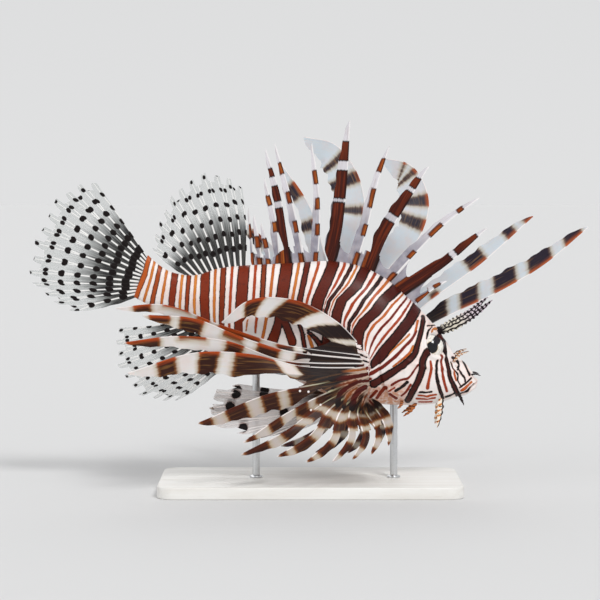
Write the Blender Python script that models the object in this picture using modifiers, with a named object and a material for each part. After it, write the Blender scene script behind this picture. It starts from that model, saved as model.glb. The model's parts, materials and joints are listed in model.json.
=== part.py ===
"""A red lionfish on a plain display stand, life size. Metres, +Z up.

The fish faces +X, so its right side is -Y. The origin is the middle of the stand's underside.
The body is one loft of oval sections, parted into head, trunk and tail. Each fin is a fan of rays
with the membrane between them, thick along the rays and thin elsewhere.
"""

import math

import bmesh
import bpy
import numpy as np
from mathutils import Vector

# Driving sizes
GAP = 0.0003  # clearance between neighbouring pieces
RING_POINTS = 32  # points round a body section
STEPS_PER_STATION = 2  # body sections between two stations
ROOT_DEPTH = 0.0025  # how far a fin starts under the skin before it is trimmed
MEMBRANE_THICKNESS = 0.00055
RIDGE_WIDTH = 0.0016  # from a ray's middle to the foot of its ridge
PECTORAL_RIDGE = (0.0020, 0.0008)  # ray thickness at root and tip
SPINE_RIDGE = (0.0030, 0.0008)
SOFT_RIDGE = (0.0015, 0.0007)
WEB_EASE = 0.2  # share of a ray's length over which its blade widens after the web ends
BLADE_CUP = 0.10  # how far a blade's back edge turns towards the body, as a share of its width

# Body stations from tail end to snout: top x, top z, bottom x, bottom z, half width, skew.
# A negative skew makes the upper half narrower than the lower one.
BODY_STATIONS = (
    (-0.1080, 0.1567, -0.1173, 0.1287, 0.0030, 0.00),
    (-0.1013, 0.1507, -0.1067, 0.1233, 0.0050, 0.00),
    (-0.0920, 0.1453, -0.0933, 0.1193, 0.0065, 0.00),
    (-0.0767, 0.1433, -0.0767, 0.1133, 0.0085, 0.00),
    (-0.0600, 0.1480, -0.0587, 0.1047, 0.0110, 0.00),
    (-0.0400, 0.1500, -0.0400, 0.0927, 0.0140, 0.00),
    (-0.0133, 0.1513, -0.0200, 0.0793, 0.0175, 0.02),
    (0.0133, 0.1527, 0.0013, 0.0680, 0.0205, 0.03),
    (0.0333, 0.1493, 0.0200, 0.0613, 0.0225, 0.02),
    (0.0500, 0.1413, 0.0387, 0.0580, 0.0235, 0.00),
    (0.0633, 0.1300, 0.0567, 0.0567, 0.0235, -0.04),
    (0.0747, 0.1193, 0.0700, 0.0567, 0.0225, -0.08),
    (0.0840, 0.1080, 0.0813, 0.0573, 0.0190, -0.12),
    (0.0913, 0.0982, 0.0907, 0.0596, 0.0155, -0.12),
    (0.0963, 0.0900, 0.0975, 0.0620, 0.0128, -0.10),
    (0.1030, 0.0852, 0.1035, 0.0640, 0.0098, -0.05),
    (0.1080, 0.0792, 0.1085, 0.0668, 0.0066, 0.00),
    (0.1105, 0.0740, 0.1107, 0.0705, 0.0022, 0.00),
)
ROUNDNESS = 2.15  # exponent of the oval sections, 2 is an ellipse
TAIL_JOIN = 4.9  # station where the tail meets the trunk
HEAD_JOIN = 9.6  # station where the head meets the trunk, along the gill opening
JOIN_HALF_STEP = 0.012  # in stations, leaves the gap at each join

GILL_STEP = 0.0014  # how far the gill cover's rear edge stands over the trunk
GILL_LENGTH = 2.2  # in stations, over which that edge rises

# Eyes, the skin roll round each, and the nostrils
EYE_PLACE = (0.0810, 0.0095, 0.0957)
EYE_RADIUS = 0.0084
ORBIT_RADIUS = 0.0083
ORBIT_ROLL = 0.0014
NOSTRIL_PLACE = (0.0975, 0.0835)
NOSTRIL_RADIUS = 0.0009

# Mouth: the slit from its corner to the front of the lips, in the side view
MOUTH_CORNER = (0.1005, 0.0652)
MOUTH_FRONT = (0.1103, 0.0712)
MOUTH_SLIT = 0.0007
LIP_RADIUS = 0.0014

# Skin flaps fused to the head: width, then the way in the side view
HEAD_FLAPS = {
    "nose": (0.0028, ((0.0950, 0.0862), (0.0985, 0.0905), (0.1053, 0.0933))),
    "snout": (0.0014, ((0.1065, 0.0770), (0.1100, 0.0778), (0.1133, 0.0768))),
    "barbel": (0.0022, ((0.0975, 0.0665), (0.1003, 0.0620), (0.1020, 0.0573))),
    "cheek_front": (0.0052, ((0.0868, 0.0625), (0.0860, 0.0520), (0.0843, 0.0427))),
    "cheek_middle": (0.0032, ((0.0705, 0.0590), (0.0665, 0.0535), (0.0617, 0.0500))),
    "cheek_rear": (0.0030, ((0.0610, 0.0615), (0.0600, 0.0575), (0.0580, 0.0555))),
}
FLAP_SPREAD = 0.0012
FLAP_THICKNESS = 0.0009
BROW_TENTACLE = {
    "width": 0.0068,
    "thickness": 0.0010,
    "fringe": 0.35,
    "way": (
        (0.0850, 0.0070, 0.1055),
        (0.0967, 0.0130, 0.1110),
        (0.1067, 0.0160, 0.1170),
        (0.1200, 0.0190, 0.1277),
    ),
}

# Pectoral fins: the root lines on the flanks, then each ray. The left fin is raised and turned forwards.
RIGHT_PECTORAL_ROOT = ((0.0373, 0.0930), (0.0413, 0.0770), (0.0367, 0.0610))
LEFT_PECTORAL_ROOT = (
    (0.0460, 0.0890),
    (0.0400, 0.0945),
    (0.0335, 0.0890),
    (0.0320, 0.0750),
    (0.0370, 0.0610),
)


def ray(width, web, lean, *points):
    """A fin ray: membrane width behind it, webbed share of its length, outward lean, its way to the tip."""
    return {"width": width, "web": web, "lean": lean, "points": points}


def spine(root_x, width, web, lean, *points):
    """A dorsal spine, rooted on the back at root_x."""
    return root_x, ray(width, web, lean, *points)


RIGHT_PECTORAL = (
    ray(0.015, 0.22, 0.012, (0.0175, 0.1085), (-0.0120, 0.1285), (-0.0415, 0.1275), (-0.0580, 0.1140)),
    ray(0.009, 0.25, 0.034, (-0.0200, 0.1000), (-0.0575, 0.1125), (-0.0970, 0.1265), (-0.1255, 0.1245)),
    ray(0.012, 0.25, 0.041, (-0.0200, 0.0970), (-0.0455, 0.1055), (-0.0745, 0.1175), (-0.1075, 0.1205)),
    ray(0.010, 0.28, 0.046, (-0.0210, 0.0905), (-0.0545, 0.1030), (-0.0865, 0.1065), (-0.1195, 0.1030)),
    ray(0.016, 0.28, 0.050, (-0.0065, 0.0855), (-0.0410, 0.0945), (-0.0725, 0.0960), (-0.1165, 0.0840)),
    ray(0.012, 0.35, 0.054, (0.0095, 0.0745), (-0.0245, 0.0695), (-0.0720, 0.0520)),
    ray(0.008, 0.60, 0.053, (0.0045, 0.0660), (-0.0175, 0.0555), (-0.0430, 0.0395)),
    ray(0.008, 0.62, 0.052, (0.0075, 0.0610), (-0.0120, 0.0475), (-0.0445, 0.0315)),
    ray(0.008, 0.62, 0.051, (0.0130, 0.0580), (0.0010, 0.0435), (-0.0215, 0.0300)),
    ray(0.007, 0.62, 0.049, (0.0195, 0.0560), (0.0125, 0.0395), (-0.0030, 0.0260)),
    ray(0.006, 0.62, 0.047, (0.0260, 0.0560), (0.0240, 0.0390), (0.0140, 0.0260)),
    ray(0.006, 0.62, 0.045, (0.0310, 0.0555), (0.0340, 0.0405), (0.0270, 0.0270)),
    ray(0.006, 0.62, 0.042, (0.0360, 0.0560), (0.0425, 0.0440), (0.0390, 0.0295)),
    ray(0.006, 0.60, 0.039, (0.0395, 0.0590), (0.0465, 0.0510), (0.0505, 0.0345)),
)
LEFT_PECTORAL = (
    ray(0.0115, 0.20, 0.046, (0.0938, 0.1135), (0.1310, 0.1305), (0.1600, 0.1470), (0.1930, 0.1735)),
    ray(0.0105, 0.20, 0.047, (0.0865, 0.1270), (0.1160, 0.1475), (0.1550, 0.1810)),
    ray(0.0165, 0.20, 0.048, (0.0530, 0.1440), (0.0760, 0.1685), (0.0820, 0.1920), (0.0695, 0.2170),
        (0.0505, 0.2220)),
    ray(0.0165, 0.20, 0.050, (0.0275, 0.1510), (0.0380, 0.1845), (0.0335, 0.2095), (0.0170, 0.2315),
        (-0.0040, 0.2365)),
    ray(0.0110, 0.20, 0.050, (0.0125, 0.1485), (-0.0005, 0.1895), (-0.0200, 0.2185)),
    ray(0.0110, 0.22, 0.050, (-0.0035, 0.1380), (-0.0275, 0.1630), (-0.0525, 0.1830)),
    ray(0.0130, 0.25, 0.050, (-0.0100, 0.1120), (-0.0550, 0.1230), (-0.0950, 0.1200)),
    ray(0.0140, 0.28, 0.051, (-0.0067, 0.0850), (-0.0456, 0.0900), (-0.1050, 0.0820)),
    ray(0.0110, 0.35, 0.052, (0.0153, 0.0680), (-0.0267, 0.0593), (-0.0700, 0.0480)),
    ray(0.0080, 0.60, 0.051, (0.0100, 0.0585), (-0.0100, 0.0450), (-0.0430, 0.0270)),
    ray(0.0080, 0.62, 0.050, (0.0160, 0.0540), (0.0053, 0.0367), (-0.0200, 0.0220)),
    ray(0.0070, 0.62, 0.047, (0.0250, 0.0520), (0.0200, 0.0333), (0.0040, 0.0180)),
    ray(0.0060, 0.62, 0.044, (0.0323, 0.0520), (0.0343, 0.0347), (0.0260, 0.0180)),
    ray(0.0060, 0.60, 0.040, (0.0383, 0.0567), (0.0465, 0.0430), (0.0460, 0.0235)),
)

# Dorsal spines, front to back. The lean alternates from side to side.
SPINE_LEAN = 0.0025
FRONT_SPINES = (
    spine(0.0690, 0.004, 0.35, SPINE_LEAN, (0.080, 0.1320), (0.0913, 0.1390)),
    spine(0.0610, 0.007, 0.24, -SPINE_LEAN, (0.0907, 0.1500), (0.1180, 0.1745)),
    spine(0.0520, 0.006, 0.20, SPINE_LEAN, (0.0687, 0.1560), (0.0900, 0.1770), (0.1130, 0.1945)),
    spine(0.0410, 0.009, 0.16, -SPINE_LEAN, (0.0520, 0.1700), (0.0650, 0.1917), (0.0790, 0.2155)),
    spine(0.0300, 0.006, 0.14, SPINE_LEAN, (0.0380, 0.1740), (0.0440, 0.2000), (0.0530, 0.2290)),
    spine(0.0155, 0.009, 0.12, -SPINE_LEAN, (0.0205, 0.1700), (0.0240, 0.2000), (0.0267, 0.2460)),
)
REAR_SPINES = (
    spine(0.0050, 0.005, 0.14, SPINE_LEAN, (0.0065, 0.1740), (0.0060, 0.2000), (0.0013, 0.2313)),
    spine(-0.0035, 0.005, 0.14, -SPINE_LEAN, (-0.0077, 0.1740), (-0.0133, 0.1980), (-0.0230, 0.2307)),
    spine(-0.0125, 0.006, 0.15, SPINE_LEAN, (-0.0155, 0.1700), (-0.0195, 0.1950), (-0.0293, 0.2273)),
    spine(-0.0200, 0.005, 0.18, -SPINE_LEAN, (-0.0222, 0.1780), (-0.0300, 0.2080)),
    spine(-0.0262, 0.004, 0.24, SPINE_LEAN, (-0.0280, 0.1640), (-0.0325, 0.1780)),
    spine(-0.0318, 0.004, 0.26, -SPINE_LEAN, (-0.0335, 0.1660), (-0.0370, 0.1830)),
    spine(-0.0370, 0.002, 0.26, SPINE_LEAN, (-0.0385, 0.1680), (-0.0410, 0.1880)),
)

# Fans in the middle plane: root line ends, margin through these points, number of rays
SOFT_DORSAL = {
    "root": ((-0.0425, 0.1500), (-0.0790, 0.1430)),
    "margin": ((-0.0450, 0.2010), (-0.0613, 0.2107), (-0.0780, 0.2075), (-0.0923, 0.1940), (-0.1053, 0.1620)),
    "rays": 11,
    "bow": -0.03,
}
CAUDAL = {
    "root": ((-0.1075, 0.1545), (-0.1155, 0.1310)),
    "margin": ((-0.1420, 0.2047), (-0.1590, 0.2010), (-0.1787, 0.1733), (-0.1853, 0.1400), (-0.1613, 0.1200)),
    "rays": 13,
    "bow": 0.0,
}
ANAL = {
    "root": ((-0.0800, 0.1145), (-0.0480, 0.0980)),
    "margin": ((-0.1273, 0.1080), (-0.1290, 0.0900), (-0.1207, 0.0713), (-0.1067, 0.0607), (-0.0900, 0.0600)),
    "rays": 10,
    "bow": 0.03,
}
PELVIC = {
    "root": ((0.0170, 0.0650), (0.0290, 0.0610)),
    "margin": ((-0.0480, 0.0690), (-0.0660, 0.0620), (-0.0680, 0.0520), (-0.0560, 0.0420), (-0.0360, 0.0370)),
    "rays": 6,
    "bow": 0.03,
}
MARGIN_WAVE = 0.025  # share by which the soft rays' lengths vary
PELVIC_SIDE = 0.0085
PELVIC_LEAN = 0.010

# Stand
BASE_SIZE = (0.200, 0.110, 0.008)
BASE_CORNER = 0.012
ROD_RADIUS = 0.0025
ROD_SEAT = 0.004
RODS = {"front": 0.0560, "rear": -0.0360}

FLESH = (0.78, 0.62, 0.55, 1.0)
PATTERN = (0.45, 0.16, 0.09, 1.0)


def clear_scene():
    for obj in list(bpy.data.objects):
        bpy.data.objects.remove(obj)


def new_collection(name):
    collection = bpy.data.collections.new(name)
    bpy.context.scene.collection.children.link(collection)
    return collection


def finish_of(name, colour, roughness, metallic=0.0):
    material = bpy.data.materials.new(name)
    material.use_nodes = True
    shader = material.node_tree.nodes["Principled BSDF"]
    shader.inputs["Base Color"].default_value = colour
    shader.inputs["Roughness"].default_value = roughness
    shader.inputs["Metallic"].default_value = metallic
    return material


def add_object(name, mesh, collection, material=None):
    obj = bpy.data.objects.new(name, mesh)
    collection.objects.link(obj)
    if material:
        mesh.materials.clear()
        mesh.materials.append(material)
    return obj


def mesh_from(bm, name):
    mesh = bpy.data.meshes.new(name)
    bm.to_mesh(mesh)
    bm.free()
    return mesh


def settled(obj):
    """Replaces the object's mesh with what its modifiers make of it."""
    graph = bpy.context.evaluated_depsgraph_get()
    mesh = bpy.data.meshes.new_from_object(obj.evaluated_get(graph))
    obj.modifiers.clear()
    obj.data = mesh


def keep_largest(obj):
    """Keeps only the largest closed surface."""
    bm = bmesh.new()
    bm.from_mesh(obj.data)
    left = set(bm.verts)
    groups = []
    while left:
        start = left.pop()
        group = {start}
        edge = [start]
        while edge:
            vert = edge.pop()
            for link in vert.link_edges:
                other = link.other_vert(vert)
                if other not in group:
                    group.add(other)
                    edge.append(other)
        left -= group
        groups.append(group)
    largest = max(groups, key=len)
    loose = [vert for vert in bm.verts if vert not in largest]
    bmesh.ops.delete(bm, geom=loose, context="VERTS")
    bm.to_mesh(obj.data)
    bm.free()


def cut(obj, cutter, solver="EXACT"):
    change = obj.modifiers.new("cut", "BOOLEAN")
    change.operation = "DIFFERENCE"
    change.solver = solver
    change.object = cutter
    settled(obj)
    keep_largest(obj)


def join(obj, pieces, solver="EXACT"):
    """Unions a collection of closed pieces with the object, then removes the pieces."""
    change = obj.modifiers.new("join", "BOOLEAN")
    change.operation = "UNION"
    change.solver = solver
    change.operand_type = "COLLECTION"
    change.collection = pieces
    settled(obj)
    keep_largest(obj)
    for piece in list(pieces.objects):
        bpy.data.objects.remove(piece)


def hide_helper(obj):
    obj.hide_render = True
    obj.display_type = "WIRE"


def smooth_between(points, share):
    """The point at this share of a smooth curve through the points, spaced by their distances."""
    points = np.asarray(points, float)
    steps = np.linalg.norm(np.diff(points, axis=0), axis=1)
    places = np.concatenate([[0.0], np.cumsum(steps)])
    at = share * places[-1]
    i = int(np.clip(np.searchsorted(places, at) - 1, 0, len(steps) - 1))
    slopes = np.gradient(points, places, axis=0)
    width = steps[i]
    u = (at - places[i]) / width
    return (
        (2 * u**3 - 3 * u**2 + 1) * points[i]
        + (u**3 - 2 * u**2 + u) * width * slopes[i]
        + (3 * u**2 - 2 * u**3) * points[i + 1]
        + (u**3 - u**2) * width * slopes[i + 1]
    )


def body_station(place):
    """Top x, top z, bottom x, bottom z, half width and skew at a place along the stations."""
    table = np.asarray(BODY_STATIONS)
    i = int(np.clip(math.floor(place), 0, len(table) - 2))
    u = place - i
    before = table[max(i - 1, 0)]
    after = table[min(i + 2, len(table) - 1)]
    first = (table[i + 1] - before) / 2
    second = (after - table[i]) / 2
    return (
        (2 * u**3 - 3 * u**2 + 1) * table[i]
        + (u**3 - 2 * u**2 + u) * first
        + (3 * u**2 - 2 * u**3) * table[i + 1]
        + (u**3 - u**2) * second
    )


def oval_width(level):
    """Share of the half width at a level from -1, bottom, to 1, top."""
    return max(1 - abs(level) ** ROUNDNESS, 0.0) ** (1 / ROUNDNESS)


def flank(x, z):
    """Half width of the body where the side view shows this point."""
    best = None
    for place in np.linspace(0, len(BODY_STATIONS) - 1, 400):
        top_x, top_z, bottom_x, bottom_z, half_width, skew = body_station(place)
        top = np.array((top_x, top_z))
        axis = np.array((bottom_x, bottom_z)) - top
        away = np.array((x, z)) - top
        miss = abs(axis[0] * away[1] - axis[1] * away[0])
        if best is None or miss < best[0]:
            level = 1 - 2 * float(np.dot(away, axis) / np.dot(axis, axis))
            best = (miss, half_width * oval_width(level) * (1 + skew * level))
    return best[1]


def gill_cover(place, level):
    """How far the gill cover stands out from the head's oval at this place and level."""
    along = 1 - min(max(place - HEAD_JOIN, 0.0) / GILL_LENGTH, 1.0)
    across = max(1 - ((level + 0.1) / 0.75) ** 2, 0.0)
    return GILL_STEP * along * along * across**0.5


def body_ring(place, grow=0.0, cover=False):
    top_x, top_z, bottom_x, bottom_z, half_width, skew = body_station(place)
    top = Vector((top_x, 0, top_z))
    bottom = Vector((bottom_x, 0, bottom_z))
    middle = (top + bottom) / 2
    up = (top - bottom) / 2
    up *= 1 + grow / up.length
    ring = []
    for i in range(RING_POINTS):
        turn = 2 * math.pi * i / RING_POINTS
        level = math.copysign(abs(math.cos(turn)) ** (2 / ROUNDNESS), math.cos(turn))
        out = math.copysign(abs(math.sin(turn)) ** (2 / ROUNDNESS), math.sin(turn))
        side = (half_width + grow) * out * (1 + skew * level)
        if cover:
            side += math.copysign(gill_cover(place, level), out)
        ring.append(middle + up * level + Vector((0, side, 0)))
    return ring


def loft(rings, name):
    """A closed surface over the rings, with flat ends."""
    bm = bmesh.new()
    loops = [[bm.verts.new(point) for point in ring] for ring in rings]
    count = len(loops[0])
    for first, second in zip(loops, loops[1:]):
        for i in range(count):
            j = (i + 1) % count
            bm.faces.new((first[i], first[j], second[j], second[i]))
    bm.faces.new(loops[0][::-1])
    bm.faces.new(loops[-1])
    bmesh.ops.recalc_face_normals(bm, faces=bm.faces)
    return mesh_from(bm, name)


def body_length(name, start, end, collection, material=None, grow=0.0, cover=False):
    steps = max(2, round((end - start) * STEPS_PER_STATION))
    places = np.linspace(start, end, steps + 1)
    rings = [body_ring(place, grow, cover) for place in places]
    if grow:
        last = len(BODY_STATIONS) - 1
        if start == 0:
            rings.insert(0, [point - Vector((grow, 0, 0)) for point in rings[0]])
        if end == last:
            rings.append([point + Vector((grow, 0, 0)) for point in rings[-1]])
    return add_object(name, loft(rings, name), collection, material)


def fan_rays(fan):
    """Straight rays from the root line to a smooth margin, spaced evenly."""
    rays = []
    start, end = (np.array(point) for point in fan["root"])
    for i in range(fan["rays"]):
        share = i / (fan["rays"] - 1)
        root = start + (end - start) * share
        tip = smooth_between(fan["margin"], share)
        along = (tip - root) * (1 + MARGIN_WAVE * math.sin(2.4 * i))
        middle = root + along / 2 + fan["bow"] * np.array((-along[1], along[0]))
        rays.append((root, ray(0.004, 0.9, 0.0, tuple(middle), tuple(root + along))))
    return rays


def blade_width(share, peak):
    """Share of a blade's full width: it grows to the peak, then tapers to the tip."""
    if share < peak:
        return 0.35 + 0.65 * math.sin(math.pi / 2 * share / peak)
    return max((1 - ((share - peak) / (1 - peak)) ** 2) ** 0.6, 0.06)


def fin_surface(name, rays, depths, side, collection, material, rows, ridge, peak=0.45):
    """A fan of rays as one thin solid.

    rays: (root in the side view, ray). depths: distance of each root from the middle plane.
    side: +1 for the left, -1 for the right. ridge: ray thickness at root and tip.
    The membrane lies behind each ray, and is joined to the next ray over the webbed share of its
    length.
    """
    bm = bmesh.new()
    thicknesses = []

    def add(point, thickness):
        thicknesses.append(thickness)
        return bm.verts.new(point)

    def place(index, share):
        root, one = rays[index]
        x, z = smooth_between([tuple(root), *one["points"]], share)
        return Vector((x, side * (depths[index] + one["lean"] * share**0.8), z))

    columns = []
    for index, (_, one) in enumerate(rays):
        front, foot, back = [], [], []
        for row in range(rows + 1):
            share = row / rows
            here = place(index, share)
            ahead = place(index, min(share + 0.02, 1.0)) - place(index, max(share - 0.02, 0.0))
            across = Vector((-ahead.z, 0, ahead.x)).normalized()
            edge = (across + Vector((0, -side * BLADE_CUP, 0))) * one["width"] * blade_width(share, peak)
            if index + 1 < len(rays):
                webbed = (place(index + 1, share) - here) * 0.5
                blend = min(max((share - round(one["web"] * rows) / rows) / WEB_EASE, 0.0), 1.0)
                edge = webbed.lerp(edge, blend * blend * (3 - 2 * blend))
            near = min(RIDGE_WIDTH / max(edge.length, 1e-6), 0.5)
            front.append(add(here, ridge[0] + (ridge[1] - ridge[0]) * share))
            foot.append(add(here + edge * near, MEMBRANE_THICKNESS))
            back.append(add(here + edge, MEMBRANE_THICKNESS))
        columns.append((front, foot, back))

    def strip(first, second, last_row):
        for row in range(last_row):
            bm.faces.new((first[row], second[row], second[row + 1]))
            bm.faces.new((first[row], second[row + 1], first[row + 1]))

    for index, (front, foot, back) in enumerate(columns):
        strip(front, foot, rows)
        strip(foot, back, rows)
        if index + 1 < len(columns):
            strip(back, columns[index + 1][0], max(1, round(rays[index][1]["web"] * rows)))
    bmesh.ops.recalc_face_normals(bm, faces=bm.faces)
    obj = add_object(name, mesh_from(bm, name), collection, material)
    group = obj.vertex_groups.new(name="thickness")
    for number, thickness in enumerate(thicknesses):
        group.add([number], thickness / ridge[0], "REPLACE")
    shell = obj.modifiers.new("shell", "SOLIDIFY")
    shell.thickness = ridge[0]
    shell.offset = 0
    shell.vertex_group = "thickness"
    settled(obj)
    return obj


def leaf(name, points, width, side, thickness, collection, material=None, fringe=0.0):
    """A flat tapered skin flap along a way of (x, y, z) points, notched where it is fringed."""
    bm = bmesh.new()
    rows = 8 if fringe else 4
    columns = [[], [], []]
    for row in range(rows + 1):
        share = row / rows
        here = Vector(smooth_between(points, share))
        ahead = Vector(smooth_between(points, min(share + 0.02, 1.0))) - Vector(
            smooth_between(points, max(share - 0.02, 0.0))
        )
        across = Vector((-ahead.z, 0, ahead.x)).normalized()
        half = width / 2 * max(math.sin(math.pi * (0.2 + 0.75 * share)), 0.12)
        if row % 2 and fringe:
            half *= 1 - fringe
        for column, sign in zip(columns, (-1, 0, 1)):
            column.append(bm.verts.new(Vector((here.x, side * here.y, here.z)) + across * sign * half))
    for first, second in zip(columns, columns[1:]):
        for row in range(rows):
            bm.faces.new((first[row], second[row], second[row + 1]))
            bm.faces.new((first[row], second[row + 1], first[row + 1]))
    bmesh.ops.recalc_face_normals(bm, faces=bm.faces)
    obj = add_object(name, mesh_from(bm, name), collection, material)
    shell = obj.modifiers.new("shell", "SOLIDIFY")
    shell.thickness = thickness
    shell.offset = 0
    settled(obj)
    return obj


def sphere(name, radius, place, collection, material=None, segments=18, rings=10):
    bm = bmesh.new()
    bmesh.ops.create_uvsphere(bm, u_segments=segments, v_segments=rings, radius=radius)
    obj = add_object(name, mesh_from(bm, name), collection, material)
    obj.location = place
    obj.rotation_euler = (math.pi / 2, 0, 0)
    return obj


def cylinder(name, radius, bottom, top, collection, material=None, segments=20):
    bm = bmesh.new()
    depth = top[2] - bottom[2]
    bmesh.ops.create_cone(
        bm, cap_ends=True, segments=segments, radius1=radius, radius2=radius, depth=depth
    )
    obj = add_object(name, mesh_from(bm, name), collection, material)
    obj.location = (bottom[0], bottom[1], bottom[2] + depth / 2)
    return obj


def outward(x, z, side):
    """The direction in which the flank faces at this point of the side view."""
    step = 0.001
    along = (flank(x + step, z) - flank(x - step, z)) / (2 * step)
    up = (flank(x, z + step) - flank(x, z - step)) / (2 * step)
    return Vector((-along, side, -up)).normalized()


def tube(name, points, radius, collection):
    """A round tube with closed ends through the points, as a mesh."""
    curve = bpy.data.curves.new(name, "CURVE")
    curve.dimensions = "3D"
    curve.bevel_depth = radius
    curve.bevel_resolution = 2
    curve.use_fill_caps = True
    spline = curve.splines.new("POLY")
    spline.points.add(len(points) - 1)
    for target, point in zip(spline.points, points):
        target.co = (*point, 1)
    line = add_object(name, curve, collection)
    graph = bpy.context.evaluated_depsgraph_get()
    mesh = bpy.data.meshes.new_from_object(line.evaluated_get(graph))
    bpy.data.objects.remove(line)
    bm = bmesh.new()
    bm.from_mesh(mesh)
    bmesh.ops.remove_doubles(bm, verts=bm.verts, dist=1e-6)
    bmesh.ops.recalc_face_normals(bm, faces=bm.faces)
    return add_object(name, mesh_from(bm, name), collection)


def mouth_plane():
    """Corner, direction to the front, and upward normal of the plane of the mouth."""
    corner = Vector((MOUTH_CORNER[0], 0, MOUTH_CORNER[1]))
    front = Vector((MOUTH_FRONT[0], 0, MOUTH_FRONT[1]))
    forward = front - corner
    return corner, forward, Vector((-forward.z, 0, forward.x)).normalized()


def add_lips(pieces):
    """A roll above and one below the slit, round the front of the snout."""
    corner, forward, normal = mouth_plane()
    half_width = flank(*MOUTH_CORNER)
    for word, lift in (("upper_lip", 1), ("lower_lip", -1)):
        points = []
        for turn in np.linspace(-math.pi / 2, math.pi / 2, 13):
            point = corner + forward * (math.cos(turn) - 0.08)
            point += Vector((0, half_width * math.sin(turn) * 0.96, 0))
            points.append(point + normal * lift * (LIP_RADIUS * 0.9 + MOUTH_SLIT / 2))
        tube(word, points, LIP_RADIUS, pieces)


def add_orbits(pieces):
    """A roll of skin round each eye."""
    x, _, z = EYE_PLACE
    for side in (-1, 1):
        facing = outward(x, z, side)
        bpy.ops.mesh.primitive_torus_add(
            major_radius=ORBIT_RADIUS, minor_radius=ORBIT_ROLL, major_segments=20, minor_segments=6
        )
        roll = bpy.context.object
        roll.name = "orbit"
        move_to(roll, pieces)
        roll.location = Vector((x, side * (flank(x, z) - 0.0004), z))
        roll.rotation_euler = facing.to_track_quat("Z", "Y").to_euler()


def move_to(obj, collection):
    for old in list(obj.users_collection):
        old.objects.unlink(obj)
    collection.objects.link(obj)


def add_flaps(pieces):
    for word, (width, way) in HEAD_FLAPS.items():
        depth = flank(*way[0]) - FLAP_SPREAD
        points = [(x, depth + FLAP_SPREAD * i, z) for i, (x, z) in enumerate(way)]
        for side in (-1, 1):
            leaf(f"{word}_flap", points, width, side, FLAP_THICKNESS, pieces)


def mouth_cutter(helpers):
    corner, forward, normal = mouth_plane()
    reach = forward.length * 2
    bm = bmesh.new()
    bmesh.ops.create_cube(bm, size=1.0)
    bmesh.ops.scale(bm, vec=(reach, 0.05, MOUTH_SLIT), verts=bm.verts)
    slit = add_object("mouth_slit", mesh_from(bm, "mouth_slit"), helpers)
    slit.location = corner + forward.normalized() * reach / 2
    slit.rotation_euler = (0, -math.atan2(forward.z, forward.x), 0)
    return slit


def make_head(parts, helpers, material):
    last = len(BODY_STATIONS) - 1
    head = body_length("head", HEAD_JOIN + JOIN_HALF_STEP, last, parts, material, cover=True)
    pieces = new_collection("head_pieces")
    add_lips(pieces)
    add_orbits(pieces)
    add_flaps(pieces)
    bpy.context.view_layer.update()
    join(head, pieces)
    cutters = [mouth_cutter(helpers)]
    x, y, z = EYE_PLACE
    for side in (-1, 1):
        cutters.append(sphere("eye_socket", EYE_RADIUS + GAP, (x, side * y, z), helpers))
        nostril_x, nostril_z = NOSTRIL_PLACE
        place = (nostril_x, side * flank(nostril_x, nostril_z), nostril_z)
        cutters.append(sphere("nostril", NOSTRIL_RADIUS, place, helpers, segments=10, rings=6))
    bpy.context.view_layer.update()
    for cutter in cutters:
        cut(head, cutter)
        bpy.data.objects.remove(cutter)


def make_body(parts, helpers, material):
    make_head(parts, helpers, material)
    body_length("trunk", TAIL_JOIN + JOIN_HALF_STEP, HEAD_JOIN - JOIN_HALF_STEP, parts, material)
    body_length("tail", 0, TAIL_JOIN - JOIN_HALF_STEP, parts, material)


def make_eyes(parts, material):
    x, y, z = EYE_PLACE
    for side, word in ((-1, "right"), (1, "left")):
        sphere(f"eye_{word}", EYE_RADIUS, (x, side * y, z), parts, material)


def make_fins(parts, clearance, head_clearance, material):
    fins = []
    for side, word, root_line, table in (
        (-1, "right", RIGHT_PECTORAL_ROOT, RIGHT_PECTORAL),
        (1, "left", LEFT_PECTORAL_ROOT, LEFT_PECTORAL),
    ):
        last = len(table) - 1
        rays = [(smooth_between(root_line, i / last), one) for i, one in enumerate(table)]
        depths = [flank(*root) - ROOT_DEPTH for root, _ in rays]
        fins.append(
            fin_surface(f"pectoral_fin_{word}", rays, depths, side, parts, material, 12, PECTORAL_RIDGE)
        )
    for word, table in (("front", FRONT_SPINES), ("rear", REAR_SPINES)):
        rays = [((x, back_height(x) - ROOT_DEPTH), one) for x, one in table]
        middle = [0.0] * len(rays)
        fins.append(
            fin_surface(f"dorsal_spines_{word}", rays, middle, 1, parts, material, 9, SPINE_RIDGE, 0.15)
        )
    for name, fan in (("dorsal_fin_soft", SOFT_DORSAL), ("caudal_fin", CAUDAL), ("anal_fin", ANAL)):
        rays = sunk(fan_rays(fan))
        fins.append(fin_surface(name, rays, [0.0] * len(rays), 1, parts, material, 7, SOFT_RIDGE))
    for side, word in ((-1, "right"), (1, "left")):
        rays = sunk(fan_rays(PELVIC))
        for _, one in rays:
            one["lean"] = PELVIC_LEAN
        depths = [PELVIC_SIDE] * len(rays)
        fins.append(fin_surface(f"pelvic_fin_{word}", rays, depths, side, parts, material, 6, SOFT_RIDGE))
    for fin in fins:
        cut(fin, clearance, "MANIFOLD")
        if fin.name.startswith("pectoral"):
            cut(fin, head_clearance, "MANIFOLD")


def sunk(rays):
    """The same rays with their roots moved back along them, under the skin."""
    moved = []
    for root, one in rays:
        along = np.array(one["points"][-1]) - root
        moved.append((root - along / np.linalg.norm(along) * ROOT_DEPTH, one))
    return moved


def back_height(x):
    """Height of the back's outline at this x."""
    places = np.linspace(0, len(BODY_STATIONS) - 1, 400)
    line = np.array([body_station(place)[:2] for place in places])
    return float(np.interp(x, line[:, 0], line[:, 1]))


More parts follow.
